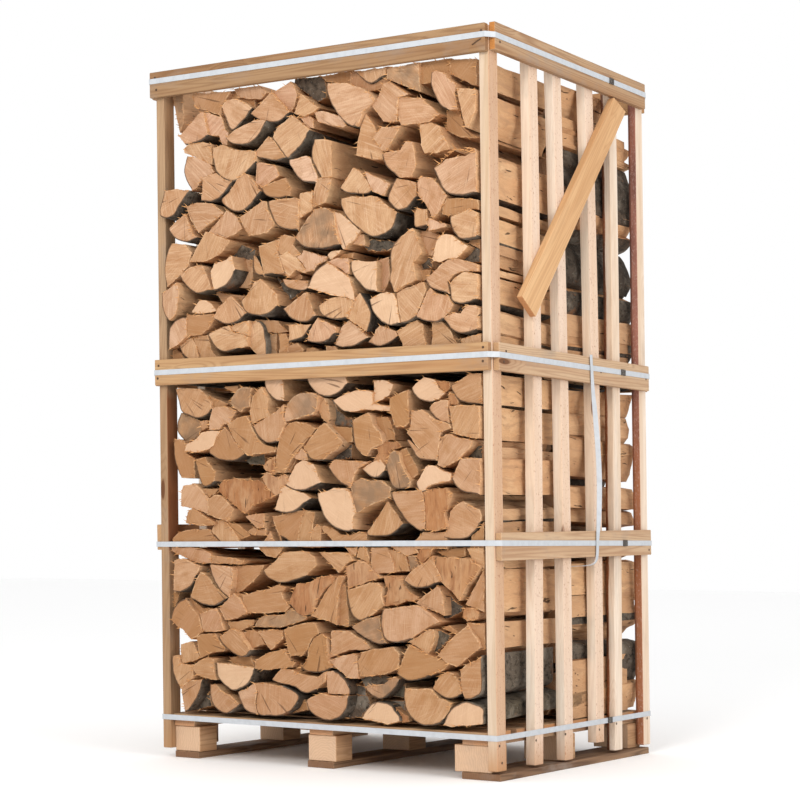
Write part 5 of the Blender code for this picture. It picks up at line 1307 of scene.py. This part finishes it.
def sawn_board(name, turn, pale, warm, deep, ring_share=0.5, dirt=0.25, cut_end="C08A5E", knots=0.8,
               side="C39B80", side_tone_and_shade_share=0.0, foot_share=0.0):
    """A rough sawn board whose grain runs along Z once the given turn has been made.

    The faces that look to the right can be another, darker tone, partly their rougher sawn face and partly
    painted shade, with small resin specks, and the foot can be browner where it has stood in the wet.
    """
    made = finish_named(name, 0.78)
    point, facing_way = point_on(made), facing_of(made)
    place = turned_by(made, point, turn)
    along = parts_of(made, turned_by(made, facing_way, turn))[2]
    is_end = band(made, maths(made, "ABSOLUTE", along), 0.7, 0.8)

    # Knots: a few cells of a stretched Voronoi, kept only where the cell's own random value is high
    cells = node(made, "ShaderNodeMapping", {"Vector": place, "Scale": [1 / c for c in KNOT_CELL]}).outputs[0]
    cell = node(made, "ShaderNodeTexVoronoi", {"Vector": cells, "Scale": 1.0, "Randomness": 1.0})
    chosen = node(made, "ShaderNodeSeparateColor", {0: cell.outputs["Color"]}).outputs[0]
    chosen = band(made, chosen, knots, knots + 0.01)
    near = band(made, cell.outputs["Distance"], 0.42, 0.08)
    swirl = maths(made, "MULTIPLY", near, chosen)
    knot = maths(made, "MULTIPLY", band(made, cell.outputs["Distance"], 0.13, 0.09), chosen)

    bows = speckle(made, place, (1 / BOW_WIDTH, 1 / BOW_WIDTH, 1 / BOW_LENGTH), 0.6)
    bows = maths(made, "MULTIPLY_ADD", swirl, 0.35, bows)
    phase = maths(made, "MULTIPLY", bows, 62.0)
    rings = maths(made, "MULTIPLY_ADD", maths(made, "SINE", phase), 0.5, 0.5)
    rings = maths(made, "POWER", rings, 2.2)
    fibres = speckle(made, place, (620.0, 620.0, 16.0), 3.0, 0.6)
    stripes = speckle(made, place, (26.0, 26.0, 0.9), 2.0)
    grime = speckle(made, place, (9.0, 9.0, 4.0), 6.0, 0.62)
    marks = speckle(made, place, (14.0, 14.0, 240.0), 2.0)

    to_right = band(made, parts_of(made, facing_way)[0], 0.6, 0.7)
    resin = speckle(made, point, (230.0, 230.0, 120.0), 3.0, 0.6)
    resin = maths(made, "MULTIPLY", band(made, resin, 0.6, 0.68, min(side_tone_and_shade_share * 1.6, 0.7)), to_right)
    height = maths(made, "MULTIPLY_ADD", grime, 0.08, parts_of(made, point)[2])
    colour = layered(made, pale, (
        (stripes, 0.36, 0.66, 1.0, warm),
        (rings, 0.0, 1.0, ring_share, deep),
        (fibres, 0.5, 0.8, 0.35, deep),
        (swirl, 0.0, 1.0, 0.25, deep),
        (knot, 0.0, 1.0, 0.85, KNOT_DARK),
        (grime, 0.56, 0.74, dirt, HANDLING_GREY),
        # partly painted shade: the faces that look to the right get a darker tone
        (to_right, 0.0, 1.0, side_tone_and_shade_share, side),
        (resin, 0.0, 1.0, 1.0, RESIN_SPECK),
        (height, 0.17, 0.07, foot_share, WET_FOOT),
    ))

    arcs = vector_maths(made, "MULTIPLY", place, (1.0, 1.0, 0.0))
    arcs = node(made, "ShaderNodeTexWave", {"Vector": arcs, "Scale": 40.0, "Distortion": 9.0, "Detail": 3.0},
                wave_type="RINGS", rings_direction="Z").outputs[1]
    end_tone = layered(made, cut_end, ((arcs, 0.0, 1.0, 0.16, deep), (grime, 0.5, 0.72, 0.4, HANDLING_GREY)))
    relief = maths(made, "MULTIPLY_ADD", fibres, 0.6, maths(made, "MULTIPLY", marks, 0.5))
    relief = maths(made, "SUBTRACT", relief, maths(made, "MULTIPLY", rings, 0.12))
    lay_on(made, mix(made, is_end, colour, end_tone), relief, 0.45, 0.8)
    return made


UPRIGHT = (0.0, 0.0, 0.0)
ACROSS = (0.0, math.radians(-90), 0.0)
FRONT_TO_BACK = (math.radians(90), 0.0, 0.0)
BRACE_RUN = (math.atan2(592.0, 664.0), 0.0, 0.0)
BOARD_FINISHES = (
    ("pale_post_pine", (UPRIGHT, "C9B59F", "BEA487", "9B7A5E", 0.18, 0.3),
     {"side": "C08E6C", "side_tone_and_shade_share": 0.45, "foot_share": 0.75}),
    ("tan_post_pine", (UPRIGHT, "A88A6B", "977657", "75563B", 0.3, 0.5), {"foot_share": 0.3}),
    ("cream_slat_pine", (UPRIGHT, "E7DACA", "DEC9B1", "B8957A", 0.18, 0.3),
     {"knots": 0.72, "side": "C8A48A", "side_tone_and_shade_share": 0.5, "foot_share": 0.6}),
    ("top_front_pine", (ACROSS, "9C7C5B", "8B6747", "6A482D", 0.4, 0.6, "8A6442"), {}),
    ("top_side_pine", (FRONT_TO_BACK, "B39575", "9F7B5A", "775034", 0.45, 0.8, "B5793F"), {}),
    ("tan_rail_pine", (ACROSS, "B8966E", "A57C55", "7F5636", 0.35, 0.6, "A67C55"), {}),
    ("side_rail_pine", (FRONT_TO_BACK, "BFA283", "AC8767", "815739", 0.35, 0.6, "B08B66"), {}),
    ("golden_brace_pine", (BRACE_RUN, "D0A87C", "C2966A", "9E7148", 0.3, 0.2), {"knots": 0.96}),
    ("pallet_deck_pine", (ACROSS, "BD9D79", "A98361", "7C5538", 0.5, 0.6), {}),
    ("pallet_rail_pine", (FRONT_TO_BACK, "BFA181", "A57D5C", "75503A", 0.5, 0.9, "B98B66"), {}),
    ("runner_pine", (FRONT_TO_BACK, "94765A", "755741", "4C3628", 0.6, 0.9, "7B5B43"), {}),
    ("block_pine", (FRONT_TO_BACK, "BE9874", "AC825D", "835A3B", 0.4, 0.7, "CBAA8C"), {}),
)
BOARD_KINDS = {name: sawn_board(name, *looks, **others) for name, looks, others in BOARD_FINISHES}
KIND_BY_NODE = (
    ("post_front_left", "tan_post_pine"), ("post_", "pale_post_pine"), ("slat_", "cream_slat_pine"),
    ("rail_front_top", "top_front_pine"), ("rail_right_top", "top_side_pine"),
    ("rail_front", "tan_rail_pine"), ("rail_back", "tan_rail_pine"), ("rail_", "side_rail_pine"),
    ("brace_", "golden_brace_pine"), ("deck_", "pallet_deck_pine"), ("runner_", "runner_pine"),
    ("stringer_", "pallet_rail_pine"), ("block_", "block_pine"),
)


def dress(solid, material):
    """Gives one CAD solid its material."""
    if not solid.material_slots:
        solid.data.materials.append(material)
    for slot in solid.material_slots:
        slot.material = material


dressed = 0
for name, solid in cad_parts.items():
    kinds = [kind for start, kind in KIND_BY_NODE if name.startswith(start)]
    if kinds:
        dress(solid, BOARD_KINDS[kinds[0]])
        dressed += 1
print(dressed, "boards dressed in", len(BOARD_KINDS), "kinds of sawn wood")

# %% [markdown]
# ## Boards: the edge that still has bark
#
# Two uprights were cut from the outside of the trunk and kept its skin on the side that faces the front.
# On the back post it is reddish purple, with pale specks. On the fourth slat it covers the inner half
# only, so the finish looks at which way the surface faces and how far out it lies.

# %% Bark edge
SKIN_FLECK = "C4ADA2"
# painted shade on the inner side of the left post, between two heights
INNER_SIDE_SHADE = "74401F"
INNER_SHADE_FROM, INNER_SHADE_TO = 0.62, 1.16     # metres above the floor
BACK_SKIN = ("9C6A5A", "774E44", "9A6442")
SLAT_SKIN = ("96664A", "6E4833", "8E5C3C")


def skinned_board(name, skin, skin_dark, low_skin, inner, outer):
    """Like a pale board, with skin on the faces that look to the front between inner and outer."""
    made = sawn_board(name, UPRIGHT, "DECDBB", "D3BBA2", "B08E72", 0.2, 0.3)
    point = point_on(made)
    x, _, z = parts_of(made, point)
    across = maths(made, "MULTIPLY_ADD", z, -LEAN, x)
    wander = speckle(made, point, (4.0, 4.0, 7.0), 3.0)
    across = maths(made, "MULTIPLY_ADD", wander, 0.012, across)
    inside = maths(made, "MULTIPLY", band(made, across, inner, inner + 0.001),
                   band(made, across, outer, outer - 0.002))
    front = band(made, parts_of(made, facing_of(made))[1], -0.35, -0.5)
    flecks = speckle(made, point, (260.0, 260.0, 120.0), 5.0, 0.7)
    patch = speckle(made, point, (20.0, 20.0, 5.0), 4.0, 0.6)
    tone = layered(made, skin, (
        (patch, 0.4, 0.62, 1.0, skin_dark),
        (z, 1.15, 0.85, 0.8, low_skin),
        (flecks, 0.53, 0.64, 0.42, SKIN_FLECK),
    ))
    paint_over(made, maths(made, "MULTIPLY", inside, front), tone)
    return made


def paint_over(material, share, tone):
    """Lays a tone over what a finish already shows."""
    base = material.node_tree.nodes["Principled BSDF"].inputs["Base Color"]
    material.node_tree.links.new(mix(material, share, base.links[0].from_socket, tone), base)


def shade_inner_side(material, low, high):
    """The inner side of the left post is painted red-brown between two heights, as painted shade."""
    inwards = band(material, parts_of(material, facing_of(material))[0], 0.4, 0.6, 0.85)
    height = parts_of(material, point_on(material))[2]
    zone = maths(material, "MULTIPLY", band(material, height, low, low + 0.05),
                 band(material, height, high, high - 0.05))
    paint_over(material, maths(material, "MULTIPLY", inwards, zone), INNER_SIDE_SHADE)


# painted shade on the inner side of the left post
shade_inner_side(BOARD_KINDS["tan_post_pine"], INNER_SHADE_FROM, INNER_SHADE_TO)
dress(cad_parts["post_back_right"], skinned_board("back_post_with_bark", *BACK_SKIN, 0.5, 0.7))
dress(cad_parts["slat_right_4"], skinned_board("slat_with_bark", *SLAT_SKIN, 0.5, 0.587))
print("two uprights keep their bark")

# %% [markdown]
# ## Straps and seals
#
# The straps are extruded polypropylene, milky white and a little glossy, with a fine embossed waffle
# that keeps them from slipping. It shows only as a slight softening of the highlight. The seals are
# blued steel sleeves, squeezed round both layers of strap by a crimping tool.

# %% Straps and seals
strap_plastic = finish_named("embossed_polypropylene", 0.38, {"IOR": 1.49, "Specular IOR Level": 0.5})
point = point_on(strap_plastic)
cloud = band(strap_plastic, speckle(strap_plastic, point, 60.0), 0.4, 0.7)
waffle = speckle(strap_plastic, point, 700.0, 1.0)
lay_on(strap_plastic, mix(strap_plastic, cloud, "B6BABF", "ADB1B6"), waffle, 0.35, 0.3)

seal_steel = finish_named("blued_strapping_steel", 0.42, {"Metallic": 0.85, "Specular IOR Level": 0.5})
point = point_on(seal_steel)
worn = band(seal_steel, speckle(seal_steel, point, 160.0, 4.0), 0.5, 0.68)
ribs = node(seal_steel, "ShaderNodeTexWave", {"Vector": point, "Scale": 42.0}, bands_direction="Y").outputs[1]
lay_on(seal_steel, mix(seal_steel, worn, "4B4540", "7B736B"), ribs, 0.9, 1.2)
for name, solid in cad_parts.items():
    if name.startswith("strap_"):
        dress(solid, strap_plastic)
    elif name.startswith("seal_"):
        dress(solid, seal_steel)
tail.data.materials.append(strap_plastic)
print("straps and seals dressed")

# %% [markdown]
# ## Growing small things with Geometry Nodes
#
# Splinters and nail heads repeat by the hundred. For each kind a small node tree turns points or lines
# into finished pieces, with named inputs for the sizes. The tree runs once and leaves a plain mesh.

# %% Helpers for grown pieces
def new_tree(name, sizes):
    """An empty geometry tree with one named number for each size, and the outputs of its input node."""
    tree = bpy.data.node_groups.new(name, "GeometryNodeTree")
    for way in ("INPUT", "OUTPUT"):
        tree.interface.new_socket("Geometry", in_out=way, socket_type="NodeSocketGeometry")
    for label in sizes:
        tree.interface.new_socket(label, in_out="INPUT", socket_type="NodeSocketFloat")
    return tree, node(tree, "NodeGroupInput").outputs


def grown(name, places, lines, tree, sizes):
    """Runs a tree on bare points or lines and keeps what it made as a plain object."""
    base = bpy.data.meshes.new(name)
    base.from_pydata(places, lines, [])
    made = bpy.data.objects.new(name, base)
    bpy.context.scene.collection.objects.link(made)
    run = made.modifiers.new(name, "NODES")
    run.node_group = tree
    for socket in tree.interface.items_tree:
        if socket.in_out == "INPUT" and socket.name in sizes:
            run[socket.identifier] = sizes[socket.name]
    done = bpy.data.meshes.new_from_object(made.evaluated_get(bpy.context.evaluated_depsgraph_get()))
    made.modifiers.clear()
    made.data = done
    bpy.data.meshes.remove(base)
    done.name = name
    print(name, "grew to", sum(len(p.vertices) - 2 for p in done.polygons), "triangles")
    return made


print("growing helpers ready")

# %% [markdown]
# ## Firewood: fibres torn loose by the saw
#
# A chainsaw leaves a fringe of pale fibres where its cut runs out of the wood, mostly along the split
# edges of a log end. Each fibre is a thin three-sided spike. They stand at random along the rims of the
# front log ends and point more or less forwards. Real fibres are finer, and one spike stands for a tuft.

# %% Torn fibres
FIBRE_SIZES = {"Spacing": 8 * MM, "Share": 0.45, "Length": 13 * MM, "Thickness": 1.5 * MM}
OPEN_STRAP = (640.0, 690.0)        # no fibre comes through the strap that crosses the open front
FIBRE_LEANS = ((0.7, -1.1, -1.2), (2.3, 1.1, 1.2))

torn_fibre = finish_named("torn_beech_fibre", 0.9)
tuft = speckle(torn_fibre, point_on(torn_fibre), 60.0, 2.0)
lay_on(torn_fibre, ramp(torn_fibre, tuft, ("A8713F", "C99562", "E0BC92")))

tree, given = new_tree("torn_fibres", FIBRE_SIZES)
rim = node(tree, "GeometryNodeMeshToCurve", {"Mesh": given["Geometry"]}).outputs[0]
spots = node(tree, "GeometryNodeCurveToPoints", {"Curve": rim, "Length": given["Spacing"]},
             mode="LENGTH").outputs[0]
kept = node(tree, "FunctionNodeRandomValue", {6: given["Share"], 8: 4}, data_type="BOOLEAN").outputs[3]
leans = node(tree, "FunctionNodeRandomValue", {0: FIBRE_LEANS[0], 1: FIBRE_LEANS[1], 8: 5},
             data_type="FLOAT_VECTOR").outputs[0]
scales = node(tree, "FunctionNodeRandomValue", {2: 0.4, 3: 1.4, 8: 6}, data_type="FLOAT").outputs[1]
spike = node(tree, "GeometryNodeMeshCone", {"Vertices": 3, "Radius Bottom": given["Thickness"],
                                            "Depth": given["Length"]}).outputs[0]
spikes = node(tree, "GeometryNodeInstanceOnPoints", {"Points": spots, "Selection": kept, "Instance": spike,
                                                     "Rotation": leans, "Scale": scales}).outputs[0]
spikes = node(tree, "GeometryNodeRealizeInstances", {0: spikes}).outputs[0]
spikes = node(tree, "GeometryNodeSetMaterial", {"Geometry": spikes, "Material": torn_fibre}).outputs[0]
node(tree, "NodeGroupOutput", {0: spikes})


def fringe(name, places, lines, sizes):
    """Fibres along the lines, kept within the room that the front stack has."""
    made = grown(name, places, lines, tree, sizes)
    for vertex in made.data.vertices:
        vertex.co = [min(max(c, low), high) for c, low, high in zip(vertex.co, *ROOM)]
        if OPEN_STRAP[0] < vertex.co.z / MM < OPEN_STRAP[1]:
            vertex.co.y = max(vertex.co.y, -HELD_BACK * MM)
    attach(made, "root")
    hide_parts("firewood_front")


ROOM = [Vector(corner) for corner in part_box("firewood_front")]
fringe("torn_fibres", rim_places, rim_lines, FIBRE_SIZES)

# %% [markdown]
# ## Firewood: the splintered crown
#
# One round log beside the right post wasn't sawn through. Its last part broke, and long pale splinters
# stand up along its top. The same tree makes them, with other sizes.

# %% Splintered crown
CROWN_SIZES = {"Spacing": 4 * MM, "Share": 0.85, "Length": 22 * MM, "Thickness": 2.2 * MM}
CROWN = ((432, 1752), (450, 1766), (486, 1788), (515, 1783), (540, 1785), (558, 1772))
CROWN_PROUD = 3.0         # the crown stands this far in front of the ordinary ends
crown_seen = [seen_at(x, z, -OPEN_END) for x, z in CROWN]
crown_places = [leaning(x, -OPEN_END - CROWN_PROUD, z) for x, z in crown_seen]
fringe("splintered_crown", crown_places, [(i, i + 1) for i in range(len(CROWN) - 1)], CROWN_SIZES)

# %% [markdown]
# ## Nails
#
# The crate is put together with a nail gun. Its round heads sit a little proud where a rail crosses an
# upright, and have begun to rust. On the front and the right side they stand where they can be seen.
# The left side and the back get two at each crossing. One nail at the top front corner was bent over
# and hammered flat.

# %% Nail heads
HEAD_SIZES = {"Radius": 3.8 * MM, "Height": 1.4 * MM}
HEADS_FROM_RAIL_MIDDLE = 27.0
FRONT_FACE = -507.5
SIDE_FACE = 620.0
STRINGER_FACE = 600.0
FRONT_FOUND = ((589, 2108), (582, 1219), (581, 1180), (-588, 2112), (-583, 2074), (-586, 1215), (-590, 1176))
SIDE_FOUND = ((-456, 2082), (-444, 1211), (-457, 1180), (138, 1193), (450, 1192), (455, 649), (-461, 668))
FOOT_FOUND = ((-475, 101), (-462, 52), (-264, 100), (-84, 104), (135, 101), (250, 111), (465, 112))
LEFT_UPRIGHTS = (-462, -272, -70, 137, 271, 462)
LEFT_RAILS = (2090.5, 1194.5, 689.5)
BACK_UPRIGHTS = (-584, 584)
BACK_RAILS = (2090.5, 1194.5)
BENT_NAIL = ((559.0, -508.2, 2071.0), (566.0, -508.9, 2074.0), (577.0, -509.0, 2080.0),
             (588.0, -508.6, 2085.0))

nail_steel = finish_named("rusting_nail_steel", 0.55, {"Metallic": 0.6, "Specular IOR Level": 0.5})
rust = speckle(nail_steel, point_on(nail_steel), 420.0)
lay_on(nail_steel, ramp(nail_steel, rust, ("2E2520", "57402F", "6E5A4C")))


def nail_heads(name, places, facing_turn):
    """Round heads at the places, each turned from upright to face out of the wood."""
    tree, given = new_tree(name, HEAD_SIZES)
    head = node(tree, "GeometryNodeMeshCylinder", {"Vertices": 10, "Radius": given["Radius"],
                                                   "Depth": given["Height"]}).outputs[0]
    points = node(tree, "GeometryNodeMeshToPoints", {"Mesh": given["Geometry"]}).outputs[0]
    heads = node(tree, "GeometryNodeInstanceOnPoints", {"Points": points, "Instance": head,
                                                        "Rotation": facing_turn}).outputs[0]
    heads = node(tree, "GeometryNodeRealizeInstances", {0: heads}).outputs[0]
    heads = node(tree, "GeometryNodeSetMaterial", {"Geometry": heads, "Material": nail_steel}).outputs[0]
    node(tree, "NodeGroupOutput", {0: heads})
    made = grown(name, [leaning(*p) for p in places], [], tree, HEAD_SIZES)
    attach(made, "root")
    return made


def at_crossings(uprights, rails, rng):
    """Two places at each crossing, a little off their mark as a quick hand leaves them."""
    return [(upright + rng.uniform(-9, 9), rail + way * HEADS_FROM_RAIL_MIDDLE + rng.uniform(-4, 4))
            for upright in uprights for rail in rails for way in (-1, 1)]


rng = np.random.default_rng(31)
left_nails = at_crossings(LEFT_UPRIGHTS, LEFT_RAILS, rng)
back_nails = at_crossings(BACK_UPRIGHTS, BACK_RAILS, rng)
quarter = math.radians(90)
nail_heads("nail_heads_front", [(x, FRONT_FACE, z) for x, z in FRONT_FOUND], (quarter, 0.0, 0.0))
nail_heads("nail_heads_right", [(SIDE_FACE, y, z) for y, z in SIDE_FOUND]
           + [(STRINGER_FACE, y, z) for y, z in FOOT_FOUND], (0.0, quarter, 0.0))
nail_heads("nail_heads_left", [(-SIDE_FACE, y, z) for y, z in left_nails], (0.0, quarter, 0.0))
nail_heads("nail_heads_back", [(x, -FRONT_FACE, z) for x, z in back_nails], (quarter, 0.0, 0.0))
bent = smooth_route(BENT_NAIL, 3)
bent_nail = ribbon("bent_nail", bent, [Vector((0, -1, 0))] * len(bent), 2.8, 1.8)
bent_nail.data.materials.append(nail_steel)
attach(bent_nail, "root")
print("nail heads are in, and one bent nail")
